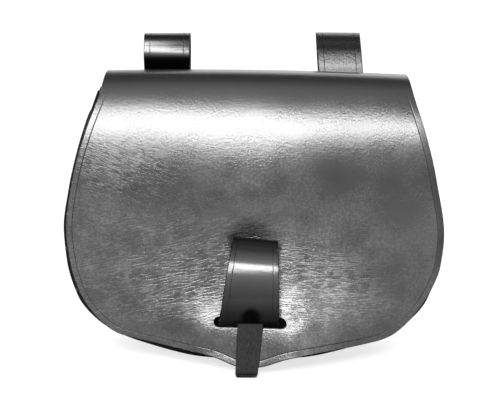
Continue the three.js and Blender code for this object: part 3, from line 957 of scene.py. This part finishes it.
def make_gusset(material):
    body = body_outline()
    outline = even_line(body, len(body) / GUSSET_STATIONS)
    inward = outline_inward(outline)
    lengths = np.arange(len(outline)) * GUSSET_PATTERN_STEP
    section = np.array(gusset_section())
    count = len(section)
    points, pattern = [], []
    for corner, (inset, depth, share) in enumerate(section):
        x, height = (outline + inward * inset).T
        front = panel_place(x, height, PANEL_THICK + SEAM_GAP + depth)[:, 1]
        back = np.full(len(x), BACK_Y - COVER_THICK - SEAM_GAP - depth)
        points.append(np.column_stack([x, front + (back - front) * share, height]))
        across = np.full(len(x), corner * GUSSET_PATTERN_STEP)
        pattern.append(np.column_stack([lengths, across, np.zeros(len(x))]))
    points = np.stack(points, axis=1).reshape(-1, 3)
    pattern = np.stack(pattern, axis=1).reshape(-1, 3)
    here = np.arange(count)
    ahead = np.roll(here, -1)
    faces = [here.tolist(), (here[::-1] + (len(outline) - 1) * count).tolist()]
    for station in range(len(outline) - 1):
        a = station * count
        faces += np.column_stack([a + here, a + ahead, a + count + ahead, a + count + here]).tolist()
    marks = {
        "pattern": pattern,
        "edge_distance": np.tile(np.abs(section[:, 0] - FLANGE_SHORT), len(outline)),
        "inner_side": np.zeros(len(points)),
        "groove": np.zeros(len(points)),
    }
    leather_object("gusset_leather", "gusset", points, faces, marks, material)


def band_columns(half, crease):
    """Places across a band of leather, from its left edge to its right."""
    distances, _ = crease_profile(crease)
    middle = np.linspace(distances[-1], half, BAND_COLUMNS)[1:]
    left = np.concatenate([distances, middle])
    return np.concatenate([left - half, (half - left[:-1])[::-1]])


def band_faces(line, places, distances, grooves, thickness):
    """The two faces of a band along a line in the YZ plane, with rounded edges and creased lines."""
    ahead = np.gradient(line, axis=0)
    normals = np.column_stack([np.zeros(len(line)), -ahead[:, 1], ahead[:, 0]])
    normals /= np.linalg.norm(normals, axis=1, keepdims=True)
    rounding = edge_depth(distances)
    depths = rounding + BAND_CREASE_DEPTH * grooves
    y, z = [np.broadcast_to(part[:, None], places.shape) for part in line.T]
    centre = np.stack([places, y, z], axis=-1)
    outer = centre + normals[:, None] * (thickness / 2 - depths)[..., None]
    inner = centre - normals[:, None] * (thickness / 2 - rounding)[..., None]
    return outer, inner


def end_rows(rows, length):
    """Places along a band, with rows added close to its ends for their rounding."""
    extra = np.transpose(ROUNDED_EDGE)[0]
    return np.unique(np.round(np.concatenate([rows, extra, length - extra]), ROW_DIGITS))


def strap_dulled(places, rows):
    """How much painted shade blackens the strap: near the slot, over its fold, and most of all by the slit.
    """
    low = SHADE_LOW * (1 - smoothstep(rows, *SHADE_LOW_TO))
    fold = SHADE_FOLD * smoothstep(rows, *SHADE_FOLD_FROM)
    spot = np.clip(SHADE_SPOT * mound(places, rows, SHADE_SPOT_MIDDLE, SHADE_SPOT_SPREAD), 0, 1)
    return np.maximum(np.maximum(low, fold), spot)


def strap_rows(length, slit):
    """Places along the strap, with one at each end of the slit."""
    rows = np.arange(0, length, STRAP_SPACING)
    for end in slit:
        rows = rows[np.abs(rows - end) > STRAP_SPACING / 2]
    return end_rows(np.concatenate([rows, slit]), length)


def hang_strap(face, rows):
    """Twists and leans one face of the strap, and hangs it from the slot."""
    slope = math.tan(STRAP_LEAN)
    above = np.clip(face[..., 2] - STRAP_TWIST_FROM, 0, None)
    face[..., 1] -= STRAP_TWIST * face[..., 0] * above
    drop = face[..., 0] * slope * smoothstep(face[..., 2], 0, STRAP_LEAN_FULL)
    face[..., 0] += face[..., 2] * slope + TONGUE_ASIDE * smoothstep(rows, *TONGUE_TURNS)[:, None]
    face[..., 2] -= drop
    face += cover_face(np.array(SLOT_X), np.array(SLOT_DOWN))


def make_closing_strap(material):
    route = spline(STRAP_ROUTE, STRAP_STEPS)
    lengths = line_lengths(route[:, :2])
    slit = [lengths[place * STRAP_STEPS] for place in (SLIT_FROM, SLIT_TO)]
    rows = strap_rows(lengths[-1], slit)
    forward, up, half = [np.interp(rows, lengths, column) for column in route.T]
    from_end = np.minimum(rows, lengths[-1] - rows)
    in_corner = np.clip(STRAP_CORNER - from_end, 0, STRAP_CORNER)
    half = half - (STRAP_CORNER - np.sqrt(STRAP_CORNER ** 2 - in_corner ** 2))
    slit_half = STRAP_ROUTE[SLIT_FROM][2]
    columns = band_columns(slit_half, STRAP_CREASE)
    shares = columns / slit_half
    slit_share = SLIT_HALF / slit_half
    for end in (-slit_share, slit_share):
        shares[np.argmin(np.abs(shares - end))] = end
    places = shares * half[:, None]
    side = np.clip(half[:, None] - np.abs(places), 0, None)
    distances = np.minimum(side, from_end[:, None])
    grooves = np.tile(groove(slit_half - np.abs(columns) - STRAP_CREASE), (len(rows), 1))
    line = np.column_stack([-forward, up])
    outer, inner = band_faces(line, places, distances, grooves, STRAP_THICK)
    for face in (outer, inner):
        hang_strap(face, rows)
    flat = np.stack([places, np.broadcast_to(rows[:, None], places.shape)], axis=-1)
    first, last = np.searchsorted(rows, np.round(slit, ROW_DIGITS) - 10 ** -ROW_DIGITS)

    def in_slit(row, column):
        return first <= row < last and abs(shares[column] + shares[column + 1]) / 2 < slit_share

    grid_piece(
        "closing_strap_leather", "closing_strap", outer, inner, flat, distances, grooves,
        strap_dulled(places, rows[:, None]), in_slit, material,
    )


def make_belt_loop(node, across, width, lean, sway, recline, recline_turn, dull, material):
    behind, below, swaying = spline(LOOP_ROUTE, LOOP_STEPS).T
    top = LOOP_TOP - LOOP_THICK / 2
    face = BACK_Y + SEAM_GAP + LOOP_THICK / 2
    line = np.column_stack([face + behind - sway * swaying, top - below])
    lengths = line_lengths(line)
    rows = end_rows(np.arange(0, lengths[-1], LOOP_SPACING), lengths[-1])
    line = np.column_stack([np.interp(rows, lengths, column) for column in line.T])
    places = np.tile(band_columns(width / 2, LOOP_CREASE), (len(rows), 1))
    side = width / 2 - np.abs(places)
    distances = np.minimum(side, np.minimum(rows, lengths[-1] - rows)[:, None])
    grooves = groove(side - LOOP_CREASE)
    outer, inner = band_faces(line, places, distances, grooves, LOOP_THICK)
    reclines = recline + recline_turn * places / (width / 2)
    for sheet_face in (outer, inner):
        height = sheet_face[..., 2]
        sheet_face[..., 0] += across + (height - LOOP_LEAN_HEIGHT) * math.tan(lean)
        sheet_face[..., 1] += reclines * np.clip(1 - (top - height) / LOOP_RECLINE_HEIGHT, 0, None)
    flat = np.stack([places, np.broadcast_to(rows[:, None], places.shape)], axis=-1)
    # Painted shade blackens the loop up to a length from its foot.
    dulled = np.broadcast_to(dull * (1 - smoothstep(rows[:, None], *LOOP_SHADE_TO)), places.shape)

    def uncut(row, column):
        return False

    grid_piece(
        node + "_leather", node, outer, inner, flat, distances, grooves, dulled, uncut, material,
    )


# The stitches

def sewn_line(line, place):
    """A stitch at each pitch of a line on a face: its middle, the way along the line and the way out."""
    x, y = even_line(line, STITCH_PITCH).T
    middles = place(x, y, np.zeros(len(x)))
    outward = middles - place(x, y, np.ones(len(x)))
    ahead = np.gradient(middles, axis=0)
    return middles, ahead / np.linalg.norm(ahead, axis=1, keepdims=True), outward


def make_stitches(name, lines, material):
    """The stitches of sewn lines, each a short rounded piece of thread that lies half in the leather."""
    turns = np.linspace(0, 2 * math.pi, STITCH_SIDES, endpoint=False)
    rings = len(STITCH_FORM)
    points, faces = [], []
    for middles, ahead, outward in lines:
        for middle, forward, up in zip(middles, ahead, outward):
            sideways = np.cross(forward, up)
            start = len(points)
            for share, swell in STITCH_FORM:
                ring = middle + forward * share * STITCH_LENGTH / 2
                for turn in turns:
                    around = math.cos(turn) * sideways + math.sin(turn) * up
                    points.append(ring + around * swell * THREAD_THICK / 2)
            for ring in range(rings - 1):
                for side in range(STITCH_SIDES):
                    a = start + ring * STITCH_SIDES + side
                    b = start + ring * STITCH_SIDES + (side + 1) % STITCH_SIDES
                    faces.append([a, b, b + STITCH_SIDES, a + STITCH_SIDES])
            faces.append(list(range(start, start + STITCH_SIDES)))
            faces.append(list(range(start + (rings - 1) * STITCH_SIDES, start + rings * STITCH_SIDES)))
    leather_object(name, None, points, faces, {}, material)


def body_seam(crease, top):
    """The line that a panel is sewn along, inside its edge and round the bottom from side to side."""
    outline = body_outline()
    line = outline + outline_inward(outline) * crease
    return line[outline[:, 1] < top - SEAM_END]


def back_place(x, height, depth):
    """A point at a depth below the back's face."""
    return cover_place(x, back_along(height), depth)


def loop_seams(across, width, lean):
    """The lines across a loop's foot, on the face that is seen from behind."""
    face = BACK_Y + SEAM_GAP + LOOP_THICK + LOOP_ROUTE[-1][0]
    half = width / 2 - LOOP_CREASE

    def place(x, height, depth):
        leaned = x + across + (height - LOOP_LEAN_HEIGHT) * math.tan(lean)
        return np.stack([leaned, face - depth, height], axis=-1)

    return [sewn_line([(-half, LOOP_FOOT + up), (half, LOOP_FOOT + up)], place) for up in LOOP_SEAMS]


def make_all_stitches(material):
    back = sewn_line(body_seam(COVER_CREASE, GUSSET_TOP), back_place)
    front = sewn_line(body_seam(PANEL_CREASE, PANEL_TOP), panel_place)
    loops = [seam for _, across, width, lean, *_ in LOOPS for seam in loop_seams(across, width, lean)]
    make_stitches("back_seam_stitches", [back], material)
    make_stitches("front_seam_stitches", [front], material)
    make_stitches("belt_loop_stitches", loops, material)


# Materials

def give(tree, socket, value):
    """Sets a socket to a value, or joins it to another node's output."""
    if isinstance(value, bpy.types.NodeSocket):
        tree.links.new(value, socket)
    else:
        socket.default_value = value


def add_node(tree, kind, inputs=(), **settings):
    """A new node with its settings, each input set to a value or joined to another node's output."""
    node = tree.nodes.new(kind)
    for setting, value in settings.items():
        setattr(node, setting, value)
    for name, value in dict(inputs).items():
        give(tree, node.inputs[name], value)
    return node


def calculate(tree, operation, *values):
    """The output of a maths node."""
    return add_node(tree, "ShaderNodeMath", enumerate(values), operation=operation).outputs[0]


def ramp(tree, value, start, end, low=0.0, high=1.0):
    """A value that goes smoothly from low to high as another goes from start to end."""
    sockets = {"Value": value, "From Min": start, "From Max": end, "To Min": low, "To Max": high}
    return add_node(tree, "ShaderNodeMapRange", sockets, interpolation_type="SMOOTHSTEP").outputs["Result"]


def mix_value(tree, share, first, second):
    """The output of a node that mixes two values."""
    return add_node(tree, "ShaderNodeMix", {"Factor": share, "A": first, "B": second}).outputs["Result"]


def mix_colour(tree, share, first, second):
    """The output of a node that mixes two colours, each of three parts or another node's output."""
    mixed = add_node(tree, "ShaderNodeMix", data_type="RGBA")
    sockets = {socket.identifier: socket for socket in (*mixed.inputs, *mixed.outputs)}
    give(tree, sockets["Factor_Float"], share)
    for name, colour in (("A_Color", first), ("B_Color", second)):
        is_output = isinstance(colour, bpy.types.NodeSocket)
        give(tree, sockets[name], colour if is_output else (*colour, 1))
    return sockets["Result_Color"]


def noise_value(tree, vector, scale, detail, distortion=0.0):
    """The value of a noise texture."""
    sockets = {"Vector": vector, "Scale": scale, "Detail": detail, "Distortion": distortion}
    return add_node(tree, "ShaderNodeTexNoise", sockets).outputs["Fac"]


def vector_parts(tree, vector):
    return add_node(tree, "ShaderNodeSeparateXYZ", {"Vector": vector}).outputs


def mark(tree, name):
    """What a piece's points are marked with."""
    return add_node(tree, "ShaderNodeAttribute", attribute_name=name).outputs


def stretched(tree, vector, along, across):
    """A pattern vector scaled so that marks come out that long and that far apart."""
    parts = vector_parts(tree, vector)
    x = calculate(tree, "DIVIDE", parts["X"], along)
    y = calculate(tree, "DIVIDE", parts["Y"], across)
    return add_node(tree, "ShaderNodeCombineXYZ", {"X": x, "Y": y}).outputs["Vector"]


def new_group(name, values, outputs):
    """An empty node group that takes the pattern and the named values, with its input and output sockets."""
    group = bpy.data.node_groups.new(name, "ShaderNodeTree")
    group.interface.new_socket("Pattern", in_out="INPUT", socket_type="NodeSocketVector")
    for socket in values:
        group.interface.new_socket(socket, in_out="INPUT", socket_type="NodeSocketFloat")
    for socket in outputs:
        group.interface.new_socket(socket, in_out="OUTPUT", socket_type="NodeSocketFloat")
    given = group.nodes.new("NodeGroupInput").outputs
    made = group.nodes.new("NodeGroupOutput").inputs
    return group, given, made


def use_group(tree, group, inputs):
    return add_node(tree, "ShaderNodeGroup", inputs, node_tree=group).outputs


def grain_group():
    """Pebbled leather grain: its height."""
    group, given, made = new_group("leather_grain", ["Cell"], ["Height"])
    cells = stretched(group, given["Pattern"], given["Cell"], given["Cell"])
    sockets = {"Vector": cells, "Scale": 1.0, "Smoothness": PEBBLE_SMOOTH}
    pebbles = add_node(group, "ShaderNodeTexVoronoi", sockets, feature="SMOOTH_F1").outputs["Distance"]
    pores = noise_value(group, cells, PORES_TO_A_PEBBLE, PORE_DETAIL)
    group.links.new(calculate(group, "SUBTRACT", pores, pebbles), made["Height"])
    return group


def cloud_group():
    """Soft clouds over the hide, where its finish is clearer or hazier."""
    group, given, made = new_group("hide_clouds", [], ["Haze"])
    clouds = noise_value(group, given["Pattern"], CLOUD_SCALE, CLOUD_DETAIL)
    group.links.new(ramp(group, clouds, *CLOUD_HAZE), made["Haze"])
    return group


def crease_group():
    """Fine creases side by side at an angle, as leather takes where it is bent."""
    group, given, made = new_group("bend_creases", ["Angle", "Length", "Spacing", "Weight"], ["Height"])
    sockets = {"Vector": given["Pattern"], "Angle": given["Angle"]}
    turned = add_node(group, "ShaderNodeVectorRotate", sockets, rotation_type="Z_AXIS").outputs["Vector"]
    lain = stretched(group, turned, given["Length"], given["Spacing"])
    folded = noise_value(group, lain, 1.0, CREASE_DETAIL, CREASE_WAVER)
    off_crest = calculate(group, "ABSOLUTE", calculate(group, "SUBTRACT", folded, 0.5))
    crests = ramp(group, off_crest, 0.0, CREST_WIDTH, 1.0, 0.0)
    group.links.new(calculate(group, "MULTIPLY", crests, given["Weight"]), made["Height"])
    return group


def edge_group():
    """Masks of the dull dye in a cut edge and a creased line, and of the rare chips that wear has left."""
    group, given, made = new_group("cut_edge", ["Edge Distance", "Groove", "Reach"], ["Edge", "Wear"])
    edge = ramp(group, given["Edge Distance"], *EDGE_DYED)
    line = ramp(group, given["Groove"], *LINE_DYED)
    group.links.new(calculate(group, "MAXIMUM", edge, line), made["Edge"])
    near = calculate(group, "DIVIDE", given["Edge Distance"], given["Reach"])
    nearness = calculate(group, "SUBTRACT", 1.0, calculate(group, "MINIMUM", near, 1.0))
    blotches = noise_value(group, given["Pattern"], WEAR_SCALE, WEAR_DETAIL)
    raised = calculate(group, "ADD", blotches, calculate(group, "MULTIPLY", nearness, WEAR_AT_EDGE))
    worn = ramp(group, raised, *WEAR_CHIPS)
    group.links.new(calculate(group, "MULTIPLY", worn, nearness), made["Wear"])
    return group


def flesh_group():
    """The matted fibres on a hide's flesh side: their height and their tone."""
    group, given, made = new_group("flesh_fibres", [], ["Height", "Tone"])
    lain = stretched(group, given["Pattern"], FIBRE_ACROSS, FIBRE_ALONG)
    fibres = noise_value(group, lain, 1.0, FIBRE_DETAIL, FIBRE_TANGLE)
    group.links.new(fibres, made["Height"])
    group.links.new(ramp(group, fibres, *FIBRE_TONE), made["Tone"])
    return group


def cut_edge(tree, groups, pattern):
    """The dull dye and the wear along a piece's edges and creased lines."""
    sockets = {
        "Pattern": pattern,
        "Edge Distance": mark(tree, "edge_distance")["Fac"],
        "Groove": mark(tree, "groove")["Fac"],
        "Reach": WEAR_REACH,
    }
    return use_group(tree, groups["edge"], sockets)


def folds(tree, groups, pattern, kind, weight):
    """The height of one kind of crease."""
    angle, length, spacing = kind
    sockets = {"Pattern": pattern, "Angle": angle, "Length": length, "Spacing": spacing, "Weight": weight}
    return use_group(tree, groups["crease"], sockets)["Height"]


def flap_folds(tree, groups, pattern):
    """The height of all the flap's creases."""
    weights = vector_parts(tree, mark(tree, "creases")["Vector"])
    relief = 0.0
    for kind, weight in zip(CREASES, weights):
        relief = calculate(tree, "ADD", folds(tree, groups, pattern, kind, weight), relief)
    return relief


def mottling(tree, groups, pattern, grain, relief):
    """How hazy the cover's finish is: cloudy, less so in pores and more on creases, even at the ridge."""
    clouds = use_group(tree, groups["cloud"], {"Pattern": pattern})["Haze"]
    pored = calculate(tree, "MULTIPLY", clouds, ramp(tree, grain, *HAZE_IN_PORES))
    lined = calculate(tree, "MULTIPLY", pored, ramp(tree, relief, *HAZE_ON_CREASES))
    from_ridge = calculate(tree, "ABSOLUTE", vector_parts(tree, pattern)["Y"])
    return mix_value(tree, ramp(tree, from_ridge, *MOTTLED_FROM), 1.0, lined)


def flesh_colour(tree, fibres, pattern, flesh, flesh_fade):
    """The grey of the flesh side, which may fade along the piece."""
    tone = calculate(tree, "MULTIPLY", fibres["Tone"], flesh)
    if flesh_fade:
        faded = ramp(tree, vector_parts(tree, pattern)["Y"], *flesh_fade)
        tone = calculate(tree, "MULTIPLY", tone, faded)
    grey = {"Red": tone, "Green": tone, "Blue": tone}
    return add_node(tree, "ShaderNodeCombineColor", grey).outputs["Color"]


def leather(name, groups, colour, roughness, specular, gloss, gloss_roughness, grain_cell, grain_height,
            crease_height=0.0, streak_height=0.0, rubbed=False, flesh=FLESH_TONE, flesh_fade=None):
    """Dyed leather with a soft grain under a clear gloss.

    Its cut edges, creased lines, flesh side and darkened places have no finish: only their dye reflects.
    """
    material = bpy.data.materials.new(name)
    material.use_nodes = True
    tree = material.node_tree
    shader = tree.nodes["Principled BSDF"]
    pattern = mark(tree, "pattern")["Vector"]
    inner = mark(tree, "inner_side")["Fac"]
    grain = use_group(tree, groups["grain"], {"Pattern": pattern, "Cell": grain_cell})["Height"]
    fibres = use_group(tree, groups["flesh"], {"Pattern": pattern})
    edge = cut_edge(tree, groups, pattern)

    height = calculate(tree, "MULTIPLY", grain, grain_height)
    relief = 0.0
    haze = 1.0
    dye = colour
    if crease_height:
        relief = flap_folds(tree, groups, pattern)
        height = calculate(tree, "MULTIPLY_ADD", relief, crease_height, height)
    if streak_height:
        streaks = folds(tree, groups, pattern, STREAKS, 1.0)
        height = calculate(tree, "MULTIPLY_ADD", streaks, streak_height, height)
        haze = ramp(tree, streaks, *GLOSS_ON_STREAKS)
    if rubbed:
        mottled = mottling(tree, groups, pattern, grain, relief)
        most = [MOTTLED_MOST * part for part in colour]
        dye = mix_colour(tree, calculate(tree, "DIVIDE", mottled, MOTTLED_MOST), EDGE_BLACK, most)
        clear = calculate(tree, "SUBTRACT", 1.0, mark(tree, "rubbing")["Fac"])
        haze = calculate(tree, "MULTIPLY", mottled, clear)
    rough_height = calculate(tree, "MULTIPLY", fibres["Height"], FIBRE_HEIGHT)
    height = mix_value(tree, inner, height, rough_height)
    bump = add_node(tree, "ShaderNodeBump", {"Height": height, "Distance": MM})
    give(tree, shader.inputs["Normal"], bump.outputs["Normal"])

    dyed = mix_colour(tree, edge["Edge"], dye, EDGE_BLACK)
    # The slot's lower lip takes the light grey as a painted highlight, beside the chips of wear.
    wear_and_highlight = calculate(tree, "MAXIMUM", edge["Wear"], mark(tree, "lip_worn")["Fac"])
    worn = mix_colour(tree, wear_and_highlight, dyed, WEAR_AND_HIGHLIGHT_GREY)
    fibre_colour = flesh_colour(tree, fibres, pattern, flesh, flesh_fade)
    give(tree, shader.inputs["Base Color"], mix_colour(tree, inner, worn, fibre_colour))

    bare_and_darkened = calculate(tree, "MAXIMUM", inner, edge["Edge"])
    # Darkened places: painted shade on the closing strap and the left loop, and a darker rim down the flap's
    # right side.
    bare_and_darkened = calculate(tree, "MAXIMUM", bare_and_darkened, mark(tree, "dulled")["Fac"])
    covered = calculate(tree, "MULTIPLY", calculate(tree, "SUBTRACT", 1.0, bare_and_darkened), haze)
    give(tree, shader.inputs["Metallic"], bare_and_darkened)
    give(tree, shader.inputs["Roughness"], mix_value(tree, bare_and_darkened, roughness, BARE_ROUGHNESS))
    give(tree, shader.inputs["Coat Weight"], calculate(tree, "MULTIPLY", covered, gloss))
    shader.inputs["Coat Roughness"].default_value = gloss_roughness
    shader.inputs["Specular IOR Level"].default_value = specular
    return material


def waxed_thread():
    """Black thread, with a soft shine where its wax has been pulled smooth."""
    material = bpy.data.materials.new("waxed_thread")
    material.use_nodes = True
    tree = material.node_tree
    shader = tree.nodes["Principled BSDF"]
    place = add_node(tree, "ShaderNodeTexCoord").outputs["Object"]
    strands = noise_value(tree, place, STRAND_SCALE, STRAND_DETAIL)
    bump = add_node(tree, "ShaderNodeBump", {"Height": strands, "Distance": STRAND_HEIGHT * MM})
    give(tree, shader.inputs["Base Color"], mix_colour(tree, strands, THREAD_DARK, THREAD_LIGHT))
    give(tree, shader.inputs["Roughness"], ramp(tree, strands, *STRAND_ROUGHNESS))
    give(tree, shader.inputs["Normal"], bump.outputs["Normal"])
    return material


def floor_paint():
    """A pale floor that looks lit from below, and that the leather reflects as a dim one."""
    material = bpy.data.materials.new("pale_floor")
    material.use_nodes = True
    tree = material.node_tree
    shader = tree.nodes["Principled BSDF"]
    seen = add_node(tree, "ShaderNodeLightPath").outputs["Is Camera Ray"]
    give(tree, shader.inputs["Base Color"], mix_colour(tree, seen, FLOOR_REFLECTED, FLOOR_WHITE))
    give(tree, shader.inputs["Emission Color"], mix_colour(tree, seen, BLACK, WHITE))
    shader.inputs["Emission Strength"].default_value = FLOOR_GLOW
    shader.inputs["Roughness"].default_value = FLOOR_ROUGHNESS
    return material


# The studio

def make_camera():
    camera = bpy.data.objects.new("camera", bpy.data.cameras.new("camera"))
    camera.data.sensor_width = SENSOR_WIDTH
    camera.data.lens = SENSOR_WIDTH * EYE_FOCAL_PIXELS / PHOTO_WIDTH
    camera.location = EYE
    level = Euler((math.pi / 2 - EYE_DOWN, 0, EYE_LEFT), "XYZ").to_matrix()
    roll = Euler((0, 0, EYE_ROLL), "XYZ").to_matrix()
    camera.rotation_euler = (level @ roll).to_euler()
    bpy.context.scene.collection.objects.link(camera)
    bpy.context.scene.camera = camera


def make_floor():
    mesh = bpy.data.meshes.new("studio_floor")
    corners = [(-1, -1, 0), (1, -1, 0), (1, 1, 0), (-1, 1, 0)]
    mesh.from_pydata([Vector(corner) * FLOOR_REACH for corner in corners], [], [range(len(corners))])
    floor = bpy.data.objects.new("studio_floor", mesh)
    mesh.materials.append(floor_paint())
    bpy.context.scene.collection.objects.link(floor)


def make_softbox(name, place, aim, size, power, roll):
    light = bpy.data.lights.new(name, "AREA")
    light.shape = "RECTANGLE"
    light.size, light.size_y = size
    light.energy = power
    softbox = bpy.data.objects.new(name, light)
    softbox.location = place
    aimed = (Vector(aim) - Vector(place)).to_track_quat("-Z", "Y")
    softbox.rotation_euler = (aimed @ Euler((0, 0, roll)).to_quaternion()).to_euler()
    bpy.context.scene.collection.objects.link(softbox)


def make_world():
    """A white studio whose ceiling is dark."""
    world = bpy.data.worlds.new("studio")
    world.use_nodes = True
    tree = world.node_tree
    background = tree.nodes["Background"].inputs
    direction = add_node(tree, "ShaderNodeTexCoord").outputs["Generated"]
    rise = vector_parts(tree, direction)["Z"]
    give(tree, background["Strength"], ramp(tree, rise, *CEILING_SHADE))
    give(tree, background["Color"], (*WHITE, 1))
    bpy.context.scene.world = world


make_camera()
make_world()
make_floor()
for softbox in SOFTBOXES:
    make_softbox(*softbox)

groups = {
    "grain": grain_group(),
    "cloud": cloud_group(),
    "crease": crease_group(),
    "edge": edge_group(),
    "flesh": flesh_group(),
}
cover_leather = leather(
    "cover_leather", groups, colour=(0.012, 0.012, 0.0123), roughness=0.2, specular=0.75, gloss=0.55,
    gloss_roughness=0.5, grain_cell=1.5, grain_height=0.05, crease_height=0.075, rubbed=True,
)
body_leather = leather(
    "body_leather", groups, colour=(0.003, 0.003, 0.003), roughness=0.5, specular=0.1, gloss=0.0,
    gloss_roughness=0.3, grain_cell=1.0, grain_height=0.03,
)
strap_leather = leather(
    "strap_leather", groups, colour=(0.003, 0.003, 0.003), roughness=0.4, specular=0.35, gloss=1.0,
    gloss_roughness=0.14, grain_cell=0.5, grain_height=0.004, streak_height=0.01,
    flesh=0.032, flesh_fade=TONGUE_FADE,
)
left_loop_leather = leather(
    "left_loop_leather", groups, colour=(0.002, 0.002, 0.002), roughness=0.22, specular=0.9, gloss=0.3,
    gloss_roughness=0.4, grain_cell=1.0, grain_height=0.06,
)
right_loop_leather = leather(
    "right_loop_leather", groups, colour=(0.002, 0.002, 0.002), roughness=0.3, specular=0.8, gloss=0.15,
    gloss_roughness=0.4, grain_cell=1.1, grain_height=0.12,
)

make_cover(cover_leather)
make_front_panel(body_leather)
make_gusset(body_leather)
make_closing_strap(strap_leather)
for loop, loop_leather in zip(LOOPS, (left_loop_leather, right_loop_leather)):
    make_belt_loop(*loop, loop_leather)

make_all_stitches(waxed_thread())

bpy.context.scene.view_settings.view_transform = "Standard"
